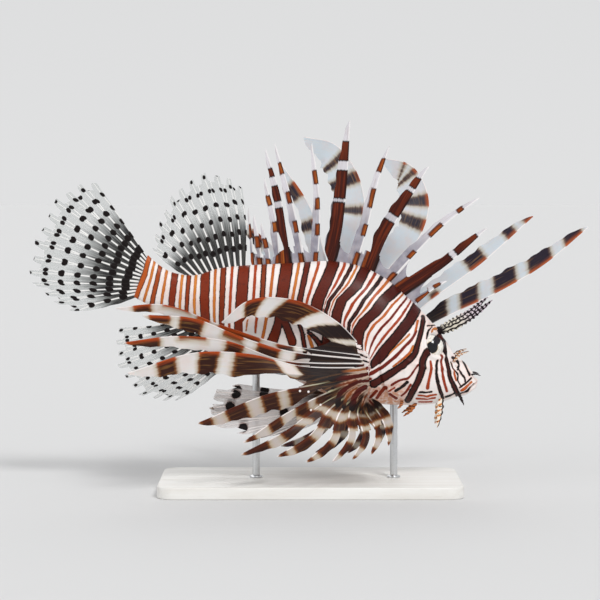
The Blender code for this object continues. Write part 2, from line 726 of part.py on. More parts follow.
def belly_height(x):
    places = np.linspace(0, len(BODY_STATIONS) - 1, 400)
    line = np.array([body_station(place)[2:4] for place in places])
    return float(np.interp(x, line[:, 0], line[:, 1]))


def make_stand(parts, helpers, clearance, base_finish, rod_finish):
    length, width, height = BASE_SIZE
    bm = bmesh.new()
    bmesh.ops.create_cube(bm, size=1.0)
    bmesh.ops.scale(bm, vec=BASE_SIZE, verts=bm.verts)
    bmesh.ops.translate(bm, vec=(0, 0, height / 2), verts=bm.verts)
    upright = [edge for edge in bm.edges if abs(edge.verts[0].co.z - edge.verts[1].co.z) > height / 2]
    bmesh.ops.bevel(bm, geom=upright, offset=BASE_CORNER, segments=5, affect="EDGES", profile=0.5)
    base = add_object("stand_base", mesh_from(bm, "stand_base"), parts, base_finish)
    for word, x in RODS.items():
        foot = (x, 0, height - ROD_SEAT)
        top = (x, 0, belly_height(x) + 0.004)
        hole = cylinder("seat", ROD_RADIUS + GAP, foot, (x, 0, height + 0.01), helpers)
        bpy.context.view_layer.update()
        cut(base, hole)
        bpy.data.objects.remove(hole)
        foot = (x, 0, foot[2] + GAP)
        rod = cylinder(f"stand_rod_{word}", ROD_RADIUS, foot, top, parts, rod_finish)
        bpy.context.view_layer.update()
        cut(rod, clearance)


def make_tentacles(parts, clearance, material):
    for side, word in ((-1, "right"), (1, "left")):
        sizes = BROW_TENTACLE
        tentacle = leaf(
            f"brow_tentacle_{word}",
            sizes["way"],
            sizes["width"],
            side,
            sizes["thickness"],
            parts,
            material,
            fringe=sizes["fringe"],
        )
        cut(tentacle, clearance, "MANIFOLD")


def main():
    clear_scene()
    parts = new_collection("lionfish")
    helpers = new_collection("cutters")
    skin = finish_of("striped_skin", PATTERN, 0.45)
    fin_skin = finish_of("fin_membrane", FLESH, 0.4)
    eye = finish_of("eye", (0.75, 0.72, 0.68, 1.0), 0.1)
    base_finish = finish_of("stand_base_finish", (0.80, 0.79, 0.76, 1.0), 0.5)
    rod_finish = finish_of("stand_rod_steel", (0.62, 0.63, 0.65, 1.0), 0.3, 1.0)
    clearance = body_length("body_clearance", 0, len(BODY_STATIONS) - 1, helpers, grow=GAP)
    hide_helper(clearance)
    last = len(BODY_STATIONS) - 1
    head_clearance = body_length("head_clearance", HEAD_JOIN, last, helpers, grow=GAP, cover=True)
    hide_helper(head_clearance)
    make_body(parts, helpers, skin)
    make_eyes(parts, eye)
    make_fins(parts, clearance, head_clearance, fin_skin)
    make_tentacles(parts, clearance, skin)
    make_stand(parts, helpers, clearance, base_finish, rod_finish)
    for obj in parts.objects:
        obj.data.shade_smooth()
        obj.data.set_sharp_from_angle(angle=math.radians(35))


main()
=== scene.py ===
"""The look of the red lionfish on its stand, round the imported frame. Metres, +Z up, the fish faces +X."""

import json
import math

import bmesh
import bpy
import numpy as np
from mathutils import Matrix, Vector

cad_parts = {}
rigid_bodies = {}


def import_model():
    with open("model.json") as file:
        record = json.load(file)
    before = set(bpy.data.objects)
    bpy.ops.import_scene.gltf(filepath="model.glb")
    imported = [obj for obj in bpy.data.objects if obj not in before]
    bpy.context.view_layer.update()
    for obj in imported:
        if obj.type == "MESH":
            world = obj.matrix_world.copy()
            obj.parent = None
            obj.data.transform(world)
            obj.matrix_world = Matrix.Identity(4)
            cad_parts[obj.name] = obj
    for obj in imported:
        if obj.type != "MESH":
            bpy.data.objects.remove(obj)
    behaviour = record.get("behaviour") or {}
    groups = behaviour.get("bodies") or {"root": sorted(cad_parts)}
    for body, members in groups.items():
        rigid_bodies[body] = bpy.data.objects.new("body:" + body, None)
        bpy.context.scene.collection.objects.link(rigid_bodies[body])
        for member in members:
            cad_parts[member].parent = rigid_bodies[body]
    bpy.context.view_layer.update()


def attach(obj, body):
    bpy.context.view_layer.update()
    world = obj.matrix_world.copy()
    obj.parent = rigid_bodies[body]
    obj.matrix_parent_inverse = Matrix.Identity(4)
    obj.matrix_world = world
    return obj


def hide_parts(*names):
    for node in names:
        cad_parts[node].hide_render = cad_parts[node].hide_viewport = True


MM = 0.001

# Camera: the photograph is 600 pixels wide and shows 1.5 pixels for each millimetre of the fish
PHOTO_SIZE = 600
PIXELS_PER_METRE = 1500.0
PHOTO_CENTRE = (-0.0067, 0.1267)  # x and z of the middle of the photograph
CAMERA_DISTANCE = 1.6
CAMERA_RISE = math.radians(3.0)
SENSOR = 36.0

# Body stations from tail end to snout: top x, top z, bottom x, bottom z, half width, skew
BODY_STATIONS = np.array(
    (
        (-0.1080, 0.1567, -0.1173, 0.1287, 0.0030, 0.00),
        (-0.1013, 0.1507, -0.1067, 0.1233, 0.0050, 0.00),
        (-0.0920, 0.1453, -0.0933, 0.1193, 0.0065, 0.00),
        (-0.0767, 0.1433, -0.0767, 0.1133, 0.0085, 0.00),
        (-0.0600, 0.1480, -0.0587, 0.1047, 0.0110, 0.00),
        (-0.0400, 0.1500, -0.0400, 0.0927, 0.0140, 0.00),
        (-0.0133, 0.1513, -0.0200, 0.0793, 0.0175, 0.02),
        (0.0133, 0.1527, 0.0013, 0.0680, 0.0205, 0.03),
        (0.0333, 0.1493, 0.0200, 0.0613, 0.0225, 0.02),
        (0.0500, 0.1413, 0.0387, 0.0580, 0.0235, 0.00),
        (0.0633, 0.1300, 0.0567, 0.0567, 0.0235, -0.04),
        (0.0747, 0.1193, 0.0700, 0.0567, 0.0225, -0.08),
        (0.0840, 0.1080, 0.0813, 0.0573, 0.0190, -0.12),
        (0.0913, 0.0982, 0.0907, 0.0596, 0.0155, -0.12),
        (0.0963, 0.0900, 0.0975, 0.0620, 0.0128, -0.10),
        (0.1030, 0.0852, 0.1035, 0.0640, 0.0098, -0.05),
        (0.1080, 0.0792, 0.1085, 0.0668, 0.0066, 0.00),
        (0.1105, 0.0740, 0.1107, 0.0705, 0.0022, 0.00),
    )
)
ROUNDNESS = 2.15
LAST_STATION = len(BODY_STATIONS) - 1
HEAD_START = 8.0  # station from which the rings are closer together
RING_POINTS = 144  # twice as many on the head
TRUNK_RINGS = 220
HEAD_RINGS = 210
SKIN_DEPTH = -0.016  # how far the seen flank is from the middle plane

EYE_PLACE = (0.0800, 0.0095, 0.0961)
EYE_RADIUS = 0.0084
PUPIL_RADIUS = 0.0039
EYE_BULGE = 0.62  # how domed the seen half of the eye is, 1 for a ball
EYE_OUT = 0.0028  # how far the flat dome stands further out than the ball
MOUTH_CORNER = (0.1005, 0.0652)
MOUTH_FRONT = (0.1103, 0.0712)
NOSTRIL_PLACE = (0.0975, 0.0835)

ROOT_DEPTH = 0.0025
MEMBRANE = 0.00035  # membrane thickness
RIGHT_PECTORAL_ROOT = ((0.0373, 0.0930), (0.0413, 0.0770), (0.0367, 0.0610))
LEFT_PECTORAL_ROOT = (
    (0.0460, 0.0890),
    (0.0400, 0.0945),
    (0.0335, 0.0890),
    (0.0320, 0.0750),
    (0.0370, 0.0610),
)
BLADE_CUP = 0.10
WEB_EASE = 0.2


def ray(width, web, lean, *points, bands=(), slant=0.0, widest=None):
    """A fin ray: membrane width, webbed share, outward lean, way to the tip, and its dark bands.

    A band is its middle and half length as shares of the ray, and how far it reaches over the membrane if that
    is less than all of it. A slant shifts the bands towards the tip, away from the ray. Widest is the share of
    the ray at which its membrane is widest, where that isn't the fin's own.
    """
    return {
        "width": width,
        "web": web,
        "lean": lean,
        "points": points,
        "bands": bands,
        "slant": slant,
        "reach": 1.0,
        "widest": widest,
    }


FAN_BANDS = ((0.16, 0.05), (0.34, 0.055), (0.53, 0.06), (0.72, 0.06), (0.93, 0.05))


def fan_bands(shift):
    """The arcs of dark bands that the lower rays of a pectoral fin share."""
    return tuple((middle + shift, half) for middle, half in FAN_BANDS)


RIGHT_PECTORAL = (
    ray(0.015, 0.22, 0.012, (0.0180, 0.1135), (-0.0120, 0.1285), (-0.0415, 0.1275), (-0.0580, 0.1140),
        bands=((0.034, 0.020), (0.160, 0.062), (0.465, 0.105), (0.755, 0.060)), slant=1.0),
    ray(0.009, 0.25, 0.034, (-0.0200, 0.1000), (-0.0575, 0.1125), (-0.0970, 0.1265), (-0.1255, 0.1245),
        bands=((0.145, 0.115), (0.33, 0.03), (0.51, 0.085), (0.655, 0.025), (0.765, 0.055, 0.0012), (0.90, 0.035))),
    ray(0.012, 0.25, 0.041, (-0.0200, 0.0970), (-0.0455, 0.1055), (-0.0745, 0.1175), (-0.1075, 0.1205),
        bands=((0.175, 0.145), (0.44, 0.05), (0.60, 0.045, 0.004), (0.79, 0.055), (0.93, 0.045, 0.006))),
    ray(0.010, 0.28, 0.046, (-0.0210, 0.0905), (-0.0545, 0.1030), (-0.0865, 0.1065), (-0.1195, 0.1030),
        bands=((0.19, 0.15), (0.555, 0.038), (0.73, 0.055, 0.0022), (0.925, 0.065))),
    ray(0.016, 0.42, 0.050, (-0.0065, 0.0855), (-0.0410, 0.0945), (-0.0725, 0.0960), (-0.1165, 0.0840),
        bands=((0.20, 0.12), (0.485, 0.078), (0.667, 0.042), (0.845, 0.040)), slant=0.2),
    ray(0.012, 0.35, 0.054, (0.0095, 0.0745), (-0.0245, 0.0695), (-0.0720, 0.0520),
        bands=((0.36, 0.125), (0.59, 0.05), (0.785, 0.062), (0.955, 0.035))),
    ray(0.008, 0.60, 0.053, (0.0045, 0.0660), (-0.0175, 0.0555), (-0.0430, 0.0395),
        bands=((0.34, 0.09), (0.535, 0.05), (0.75, 0.055), (0.945, 0.035))),
    ray(0.008, 0.62, 0.052, (0.0075, 0.0610), (-0.0120, 0.0475), (-0.0445, 0.0315),
        bands=((0.32, 0.08), (0.49, 0.045), (0.66, 0.06), (0.895, 0.09))),
    ray(0.008, 0.62, 0.051, (0.0130, 0.0580), (0.0010, 0.0435), (-0.0215, 0.0300),
        bands=((0.33, 0.09), (0.54, 0.06), (0.77, 0.08), (0.95, 0.035))),
    ray(0.007, 0.62, 0.049, (0.0195, 0.0560), (0.0125, 0.0395), (-0.0030, 0.0260),
        bands=((0.33, 0.08), (0.56, 0.06), (0.78, 0.08), (0.96, 0.03))),
    ray(0.006, 0.62, 0.047, (0.0260, 0.0560), (0.0240, 0.0390), (0.0140, 0.0260),
        bands=((0.31, 0.06), (0.50, 0.06), (0.80, 0.09))),
    ray(0.006, 0.62, 0.045, (0.0310, 0.0555), (0.0340, 0.0405), (0.0270, 0.0270),
        bands=((0.28, 0.05), (0.45, 0.07), (0.70, 0.11), (0.97, 0.025))),
    ray(0.006, 0.62, 0.042, (0.0360, 0.0560), (0.0425, 0.0440), (0.0390, 0.0295),
        bands=((0.25, 0.05), (0.42, 0.06), (0.64, 0.09), (0.93, 0.05))),
    ray(0.006, 0.60, 0.039, (0.0395, 0.0590), (0.0465, 0.0510), (0.0505, 0.0345),
        bands=((0.20, 0.05), (0.42, 0.09), (0.74, 0.07), (0.97, 0.03))),
)
LEFT_PECTORAL = (
    ray(0.0115, 0.20, 0.046, (0.0938, 0.1135), (0.1310, 0.1305), (0.1600, 0.1470), (0.1930, 0.1735),
        bands=((0.10, 0.04), (0.26, 0.058), (0.415, 0.040), (0.580, 0.052), (0.75, 0.058), (0.925, 0.045)), slant=0.4),
    ray(0.0105, 0.20, 0.047, (0.0865, 0.1270), (0.1160, 0.1475), (0.1550, 0.1810),
        bands=((0.14, 0.04), (0.385, 0.022, 0.004), (0.645, 0.05), (0.862, 0.03), (0.98, 0.03))),
    ray(0.0185, 0.20, 0.048, (0.0530, 0.1440), (0.0760, 0.1685), (0.0820, 0.1920), (0.0695, 0.2170),
        (0.0505, 0.2220),
        bands=((0.15, 0.03), (0.585, 0.027), (0.70, 0.030), (0.84, 0.014), (0.90, 0.008)), widest=0.76),
    ray(0.0200, 0.20, 0.050, (0.0275, 0.1510), (0.0380, 0.1845), (0.0335, 0.2095), (0.0170, 0.2315),
        (-0.0040, 0.2365),
        bands=((0.15, 0.03), (0.56, 0.018), (0.705, 0.026), (0.81, 0.016)), widest=0.76),
    ray(0.0110, 0.20, 0.050, (0.0125, 0.1485), (-0.0005, 0.1895), (-0.0200, 0.2185),
        bands=((0.15, 0.03), (0.40, 0.03), (0.65, 0.025), (0.845, 0.042))),
    ray(0.0110, 0.22, 0.050, (-0.0035, 0.1380), (-0.0275, 0.1630), (-0.0525, 0.1830),
        bands=((0.15, 0.04), (0.38, 0.04), (0.60, 0.04), (0.82, 0.05))),
    ray(0.0130, 0.25, 0.050, (-0.0100, 0.1120), (-0.0550, 0.1230), (-0.0950, 0.1200),
        bands=((0.14, 0.06), (0.36, 0.06), (0.60, 0.06), (0.86, 0.05))),
    ray(0.0140, 0.28, 0.051, (-0.0067, 0.0850), (-0.0456, 0.0900), (-0.1050, 0.0820),
        bands=((0.14, 0.06), (0.30, 0.06), (0.50, 0.07), (0.70, 0.05), (0.90, 0.04))),
    ray(0.0110, 0.35, 0.052, (0.0153, 0.0680), (-0.0267, 0.0593), (-0.0700, 0.0480), bands=fan_bands(0.0)),
    ray(0.0080, 0.60, 0.051, (0.0100, 0.0585), (-0.0100, 0.0450), (-0.0430, 0.0270), bands=fan_bands(0.01)),
    ray(0.0080, 0.62, 0.050, (0.0160, 0.0540), (0.0053, 0.0367), (-0.0200, 0.0220), bands=fan_bands(-0.01)),
    ray(0.0070, 0.62, 0.047, (0.0250, 0.0520), (0.0200, 0.0333), (0.0040, 0.0180), bands=fan_bands(0.02)),
    ray(0.0060, 0.62, 0.044, (0.0323, 0.0520), (0.0343, 0.0347), (0.0260, 0.0180), bands=fan_bands(0.0)),
    ray(0.0060, 0.60, 0.040, (0.0383, 0.0567), (0.0465, 0.0430), (0.0460, 0.0235), bands=fan_bands(0.01)),
)

SPINE_LEAN = 0.0025
BANDED_REACH = 0.0034
DARK_REACH = 0.0090


def spine(root_x, width, web, lean, *points, bands=(), dark=False):
    """A dorsal spine, rooted on the back at root_x. A dark one is dark over most of its membrane."""
    one = ray(width, web, lean, *points, bands=bands)
    one["reach"] = DARK_REACH if dark else BANDED_REACH
    one["ahead"] = 0.0014 if dark else 0.0009
    one["warmth"] = 0.0 if dark else 1.0
    return root_x, one


FRONT_SPINES = (
    spine(0.0690, 0.004, 0.35, SPINE_LEAN, (0.080, 0.1320), (0.0913, 0.1390),
          bands=((0.3, 0.2), (0.75, 0.1))),
    spine(0.0610, 0.007, 0.24, -SPINE_LEAN, (0.0907, 0.1500), (0.1180, 0.1745),
          bands=((0.28, 0.30), (0.76, 0.13)), dark=True),
    spine(0.0520, 0.006, 0.20, SPINE_LEAN, (0.0687, 0.1560), (0.0900, 0.1770), (0.1130, 0.1945),
          bands=((0.05, 0.06), (0.30, 0.04), (0.57, 0.07), (0.82, 0.03))),
    spine(0.0410, 0.009, 0.16, -SPINE_LEAN, (0.0520, 0.1700), (0.0650, 0.1917), (0.0790, 0.2155),
          bands=((0.18, 0.28), (0.63, 0.12), (0.83, 0.05)), dark=True),
    spine(0.0300, 0.006, 0.14, SPINE_LEAN, (0.0380, 0.1740), (0.0440, 0.2000), (0.0530, 0.2290),
          bands=((0.06, 0.07), (0.31, 0.05), (0.57, 0.08), (0.84, 0.06))),
    spine(0.0155, 0.009, 0.12, -SPINE_LEAN, (0.0205, 0.1700), (0.0240, 0.2000), (0.0267, 0.2460),
          bands=((0.20, 0.24), (0.56, 0.10), (0.79, 0.07)), dark=True),
)
REAR_SPINES = (
    spine(0.0050, 0.005, 0.14, SPINE_LEAN, (0.0065, 0.1740), (0.0060, 0.2000), (0.0013, 0.2313),
          bands=((0.06, 0.05), (0.29, 0.05), (0.50, 0.05), (0.72, 0.06))),
    spine(-0.0035, 0.005, 0.14, -SPINE_LEAN, (-0.0077, 0.1740), (-0.0133, 0.1980), (-0.0230, 0.2307),
          bands=((0.06, 0.05), (0.32, 0.05), (0.56, 0.05), (0.80, 0.05))),
    spine(-0.0125, 0.006, 0.15, SPINE_LEAN, (-0.0155, 0.1700), (-0.0195, 0.1950), (-0.0293, 0.2273),
          bands=((0.24, 0.26), (0.62, 0.07), (0.80, 0.04)), dark=True),
    spine(-0.0200, 0.005, 0.18, -SPINE_LEAN, (-0.0222, 0.1780), (-0.0300, 0.2080),
          bands=((0.1, 0.06), (0.45, 0.06), (0.75, 0.06))),
    spine(-0.0262, 0.004, 0.24, SPINE_LEAN, (-0.0280, 0.1640), (-0.0325, 0.1780),
          bands=((0.1, 0.10), (0.55, 0.12))),
    spine(-0.0318, 0.004, 0.26, -SPINE_LEAN, (-0.0335, 0.1660), (-0.0370, 0.1830),
          bands=((0.1, 0.10), (0.50, 0.12))),
    spine(-0.0370, 0.002, 0.26, SPINE_LEAN, (-0.0385, 0.1680), (-0.0410, 0.1880),
          bands=((0.15, 0.12), (0.62, 0.12))),
)

SOFT_DORSAL = {
    "root": ((-0.0425, 0.1500), (-0.0790, 0.1430)),
    "margin": ((-0.0450, 0.2010), (-0.0613, 0.2107), (-0.0780, 0.2075), (-0.0923, 0.1940), (-0.1053, 0.1620)),
    "rays": 11,
    "bow": -0.03,
}
CAUDAL = {
    "root": ((-0.1075, 0.1545), (-0.1155, 0.1310)),
    "margin": ((-0.1420, 0.2047), (-0.1590, 0.2010), (-0.1787, 0.1733), (-0.1853, 0.1400), (-0.1613, 0.1200)),
    "rays": 13,
    "bow": 0.0,
}
ANAL = {
    "root": ((-0.0800, 0.1145), (-0.0480, 0.0980)),
    "margin": ((-0.1273, 0.1080), (-0.1290, 0.0900), (-0.1207, 0.0713), (-0.1067, 0.0607), (-0.0900, 0.0600)),
    "rays": 10,
    "bow": 0.03,
}
PELVIC = {
    "root": ((0.0170, 0.0650), (0.0290, 0.0610)),
    "margin": ((-0.0480, 0.0690), (-0.0660, 0.0620), (-0.0680, 0.0520), (-0.0560, 0.0420), (-0.0360, 0.0370)),
    "rays": 6,
    "bow": 0.03,
}
MARGIN_WAVE = 0.025
PELVIC_SIDE = 0.0085
PELVIC_LEAN = 0.010
PELVIC_SPOTS = ((236, 394), (230, 406), (243, 427.5), (264, 395), (284, 413))  # photo pixels
FLESHY_BELOW = 0.080  # pectoral rays that start lower than this have a fleshy base
FLECKS = ((300, 391), (308.5, 392), (311, 410), (320.6, 405.5))  # photo pixels
FLECK_DEPTH = 0.045
FLESHY_DEPTH = -0.032

# Lights: name, where from, strength, how wide the source looks in degrees
LIGHTS = (
    ("key", (0.55, -1.25, 1.33), 1.75, 16.0),
    ("fill", (-1.40, -0.90, 0.60), 0.30, 40.0),
    ("back", (-0.20, 1.50, 1.20), 0.45, 30.0),
)
WORLD_TOP = (0.50, 0.505, 0.515, 1.0)
WORLD_HORIZON = (0.748, 0.751, 0.755, 1.0)
FLOOR_COLOUR = (0.680, 0.679, 0.677, 1.0)

BASE_SIZE = (0.200, 0.110, 0.008)
BASE_CORNER = 0.012
ROD_RADIUS = 0.0025
RODS = {"front": 0.0560, "rear": -0.0360}


def stripe(width, *points, warm=0.0, lines=(0.3,), stop=-1.0):
    """A dark stripe across the body: width in photo pixels, its way from the back down in photo pixels,
    how orange it is, and the tones of the thin lines between it and the next stripe towards the snout.

    A tone is 0 for yellow-orange, 0.5 for orange-red and 1 for dark red. A stripe may stop at a height.
    """
    return {"width": width, "points": points, "warm": warm, "lines": lines, "stop": stop}


# From the tail end to the gill cover
STRIPES = (
    stripe(6, (149, 253), (144, 274), (135, 296), warm=0.9, lines=(0.1,)),
    stripe(5, (159, 268), (152, 298), warm=0.5, lines=(0.2,)),
    stripe(7, (174, 274), (171, 302), lines=(0.1,)),
    stripe(4.5, (188, 275), (186, 306), warm=0.2, lines=(0.0,)),
    stripe(10, (205, 270), (204, 303), (205, 322), lines=(0.15,)),
    stripe(6, (223, 268), (221, 318), warm=0.1, lines=(0.5,)),
    stripe(12, (244, 266), (241, 302), (239, 330), lines=(0.6,)),
    stripe(5.5, (264, 268), (262, 300), (257, 333), warm=0.2, lines=(0.3,)),
    stripe(13, (288, 258), (282, 298), (278, 340), lines=(0.2,)),
    stripe(6.5, (307, 266), (300, 300), (297, 324), (305, 350), lines=(0.45,)),
    stripe(13, (333, 266), (324, 286), (318, 300), (315, 312), (318, 340), (322, 370), lines=(0.6,)),
    stripe(4, (352, 267), (340.3, 286), (329.5, 300), (325.5, 312), (328, 345), (333, 372), lines=(0.2,)),
    stripe(11, (367, 267), (356.3, 286), (341.8, 300), (336.8, 312), (335.5, 322), (340, 350), (346, 380),
           lines=(0.7,)),
    stripe(4, (387, 272), (375.5, 286), (363.8, 300), (356.8, 311.5), (349, 322), (348, 340), (353, 385), lines=(0.3,)),
    stripe(12, (402, 285.5), (384, 300), (375, 311.5), (364.8, 320.5), (358.8, 330), (357, 340), (360, 395),
           lines=(0.3, 1.0, 0.7)),
    stripe(11.5, (419, 306), (409, 321), (396, 336), (384, 350), (376, 361), (368, 373), (361, 385), (357, 398),
           lines=(), stop=0.0795),
)


def mark(start, end, *points, tone=None, warm=0.0):
    """A marking with a width that runs from start to end along its way, all in photo pixels.

    With a tone it is a thin coloured line, otherwise a dark stripe.
    """
    return {"widths": (start, end), "points": points, "tone": tone, "warm": warm}


HEAD_MARKS = (
    # The stripe from the nape down the gill cover, ending in round spots over the fin root
    mark(5.0, 8.5, (423.4, 318), (421.6, 329.5), (418, 341), (413.6, 354), (404, 363), (390, 372.5), (377, 381)),
    mark(8.8, 8.8, (373.6, 382.3), (374.6, 382.6)),
    mark(4.5, 5.0, (363.0, 389.6), (366, 387.4)),
    # The band through the eye
    mark(10.0, 9.0, (447, 333.5), (441, 338.5), (436, 343)),
    mark(7.5, 6.8, (427.5, 351), (422.4, 360), (422.0, 368), (418.5, 379), (412.5, 391), (408.3, 401)),
    # Stripes of the cheek and snout
    mark(2.6, 5.6, (445.8, 338), (445.7, 350), (447, 359), (448.4, 368), (450.5, 378), (455.5, 389), (461.8, 401)),
    mark(2.5, 3.8, (437.7, 360.7), (436.2, 366), (436.8, 376), (438.8, 386), (443.5, 399)),
    mark(1.7, 1.7, (452, 362.5), (454.6, 369.6), (458.6, 376), (458.2, 380.4), (460.9, 386)),
    mark(1.8, 2.4, (462.8, 358.5), (467, 367.5), (470.7, 376)),
    mark(1.8, 1.8, (459, 367.9), (461.2, 374), (465.4, 378.6), (466.3, 383)),
    mark(2.0, 1.6, (454.6, 358), (458.4, 361.6), (460, 365.2), (458.6, 370.5)),
    mark(2.0, 2.0, (460, 387.8), (467, 384), (472.5, 379.3)),
    mark(2.0, 2.0, (462.3, 394.2), (469.4, 390.4), (474.3, 385.4)),
    mark(1.6, 1.6, (449.0, 339), (452.5, 346), (456, 352)),
    mark(1.4, 1.4, (427.4, 326.2), (433, 326.6), (439.5, 327.9)),
    mark(1.6, 1.6, (426.0, 338.6), (428.4, 331.5), (432.2, 328)),
    mark(2.0, 2.0, (419.6, 391.7), (426, 392.4), (431.6, 391.9)),
    mark(2.2, 2.2, (446.5, 397.8), (451, 396.4), (456.6, 393.6)),
    mark(3.4, 2.6, (407.0, 381), (402, 386), (395.6, 389.8)),
    # Thin lines
    mark(1.8, 2.6, (417.6, 364), (414.4, 368.6), (408.2, 377), (399, 379.6), (391.6, 384), tone=1.0),
    mark(2.6, 2.2, (410.4, 384), (406.6, 390.5), (401.7, 395.4), tone=0.9),
    mark(4.0, 3.4, (386, 386.8), (382, 391), (377.4, 398), tone=0.85),
    mark(3.4, 3.0, (376.5, 390.6), (371, 396.5), tone=0.85),
    mark(3.0, 3.0, (390.2, 393.2), (396.6, 398.4), tone=0.8),
    mark(1.8, 1.8, (394.5, 386.6), (388.6, 390.4), tone=0.6),
    mark(2.0, 2.0, (409, 334), (402.9, 339.8), (391.3, 350), (379.6, 362.5), tone=0.1),
    mark(2.8, 3.4, (415.8, 331), (411.8, 338.4), (404.6, 345.5), (395.7, 355), (386, 363), (376, 370), (360, 376.8),
         tone=1.0),
    mark(3.0, 2.0, (412.9, 346), (409.5, 351.8), (402.5, 358), (393, 365.5), tone=0.25),
    mark(2.6, 2.2, (417.4, 321.5), (416.4, 326), (415, 331), tone=0.3),
    mark(2.2, 3.4, (430.6, 361), (431, 369.6), (429.0, 379), (427.6, 388), tone=0.7),
    mark(2.2, 2.8, (442, 355.0), (441.6, 366), (443, 376), (445.0, 384), (447.4, 391.5), tone=0.75),
    mark(1.8, 1.8, (453.2, 364), (454.6, 373), (456.6, 381), tone=0.3),
    mark(1.6, 1.6, (461.4, 390.6), (467, 387.4), (472.4, 383), tone=0.3),
    mark(2.0, 2.0, (418.6, 395.4), (427, 396), (436.5, 395.0), tone=0.4),
    mark(2.0, 2.0, (417, 399), (426, 399.4), (435.5, 398.4), tone=0.5),
    mark(2.0, 2.0, (419.5, 402.9), (426, 403), (432.4, 402.7), tone=0.5),
    mark(1.6, 1.6, (431.5, 332.5), (434.5, 329.5), (437.5, 330.5), tone=0.0),
)
# Under the arch of the right pectoral fin
ARCH_LINE = ((243, 322), (262, 309), (290, 308), (318, 317), (340, 329), (359, 344), (369, 355))
ARCH_MARKS = (
    mark(8.0, 11.0, (280, 311), (277.5, 326), (272.5, 341)),
    mark(8.0, 9.0, (281.5, 314), (288, 330), (292.5, 342)),
    mark(4.5, 4.8, (297.6, 318), (302.6, 335), (305.0, 352)),
    mark(4.0, 9.0, (308, 331), (316, 339), (322.5, 349), (324.5, 366)),
    mark(9.0, 9.0, (328, 328), (326, 342), (324.5, 358)),
    mark(7.0, 7.0, (341, 340), (342.3, 352), (343, 366)),
    mark(4.0, 4.0, (353, 345), (356, 356), (360, 368)),
    mark(3.2, 2.0, (257.6, 313), (256, 323), (255.3, 333), tone=0.45),
    mark(1.6, 1.4, (248, 317), (246.7, 325), (246, 331), tone=0.0),
    mark(3.0, 3.0, (267, 314), (265, 326), (262.5, 338), tone=0.2),
    mark(3.2, 3.6, (308.5, 335), (312, 346), (315, 356), tone=0.2),
    mark(3.0, 3.6, (334.5, 338), (335, 350), (334.6, 363), tone=0.35),
    mark(2.0, 1.4, (346, 345.5), (356, 347.5), (363, 350)),
    mark(2.4, 1.6, (346, 352), (357, 353), (367, 356)),
    mark(2.2, 1.6, (346, 358), (358, 358.5), (369, 361)),
    mark(3.0, 3.2, (377, 362), (369, 366.5), (352, 368.5), tone=1.0),
)
ROOT_MARKS = (
    mark(2.6, 3.6, (379, 367.5), (371, 371.5), (360, 374), tone=1.0),
    mark(2.8, 3.4, (371, 377.5), (364, 379.5), (354, 381), tone=0.9),
)


# Bold bands on the fleshy base of a pectoral fin
FLESHY_MARKS = (
    mark(1.6, 2.4, (376.5, 360.5), (371, 364.2), (363, 366.6), (354, 367.8)),
    mark(1.8, 2.2, (369.5, 369.4), (360, 371.2), (350, 371.6), (338, 372.4), warm=0.9),
    mark(2.6, 5.2, (376, 371.6), (370.2, 374.6), (357.4, 377.1), (344.6, 378.3), (330, 379)),
    mark(1.2, 2.8, (357, 380.8), (347, 383.6), (338, 385.6), (332, 388), warm=0.3),
    mark(2.4, 5.5, (370, 382.2), (360.6, 382.2), (354.2, 384), (345.5, 388.6), (339.5, 394), (337.5, 404)),
    mark(1.4, 4.0, (357, 388.4), (350.4, 393.2), (345.5, 400), (343.5, 407), warm=0.6),
    mark(5.0, 6.4, (365.2, 388.6), (359, 391.8), (354.8, 396.8), (352.8, 403.5), (352, 408.5)),
    mark(1.4, 1.8, (366.2, 396.8), (364.2, 402.5), (361.0, 411), warm=0.4),
    mark(1.6, 2.0, (367.5, 396.5), (370.5, 403), (376, 410.6)),
)


def from_photo(u, v, depth=0.0):
    """The side view position, x and z, of a photo pixel at a distance behind the middle plane."""
    shrink = PIXELS_PER_METRE * CAMERA_DISTANCE / (CAMERA_DISTANCE + depth)
    x = PHOTO_CENTRE[0] + (u - PHOTO_SIZE / 2) / shrink
    rise = (PHOTO_SIZE / 2 - v) / shrink - depth * math.sin(CAMERA_RISE)
    return x, PHOTO_CENTRE[1] + rise / math.cos(CAMERA_RISE)


def smooth_path(points, shares):
    """Points at these shares of a smooth curve through the points, spaced by their distances."""
    points = np.asarray(points, float)
    steps = np.linalg.norm(np.diff(points, axis=0), axis=1)
    places = np.concatenate([[0.0], np.cumsum(steps)])
    at = np.atleast_1d(shares) * places[-1]
    i = np.clip(np.searchsorted(places, at) - 1, 0, len(steps) - 1)
    slopes = np.gradient(points, places, axis=0)
    width = steps[i][:, None]
    u = ((at - places[i]) / steps[i])[:, None]
    return (
        (2 * u**3 - 3 * u**2 + 1) * points[i]
        + (u**3 - 2 * u**2 + u) * width * slopes[i]
        + (3 * u**2 - 2 * u**3) * points[i + 1]
        + (u**3 - u**2) * width * slopes[i + 1]
    )


def stations_at(places):
    places = np.atleast_1d(np.asarray(places, float))
    i = np.clip(np.floor(places).astype(int), 0, LAST_STATION - 1)
    u = (places - i)[:, None]
    before = BODY_STATIONS[np.maximum(i - 1, 0)]
    after = BODY_STATIONS[np.minimum(i + 2, LAST_STATION)]
    first = (BODY_STATIONS[i + 1] - before) / 2
    second = (after - BODY_STATIONS[i]) / 2
    return (
        (2 * u**3 - 3 * u**2 + 1) * BODY_STATIONS[i]
        + (u**3 - 2 * u**2 + u) * first
        + (3 * u**2 - 2 * u**3) * BODY_STATIONS[i + 1]
        + (u**3 - u**2) * second
    )


STATION_SAMPLES = np.linspace(0, LAST_STATION, 1200)
STATION_LINES = stations_at(STATION_SAMPLES)


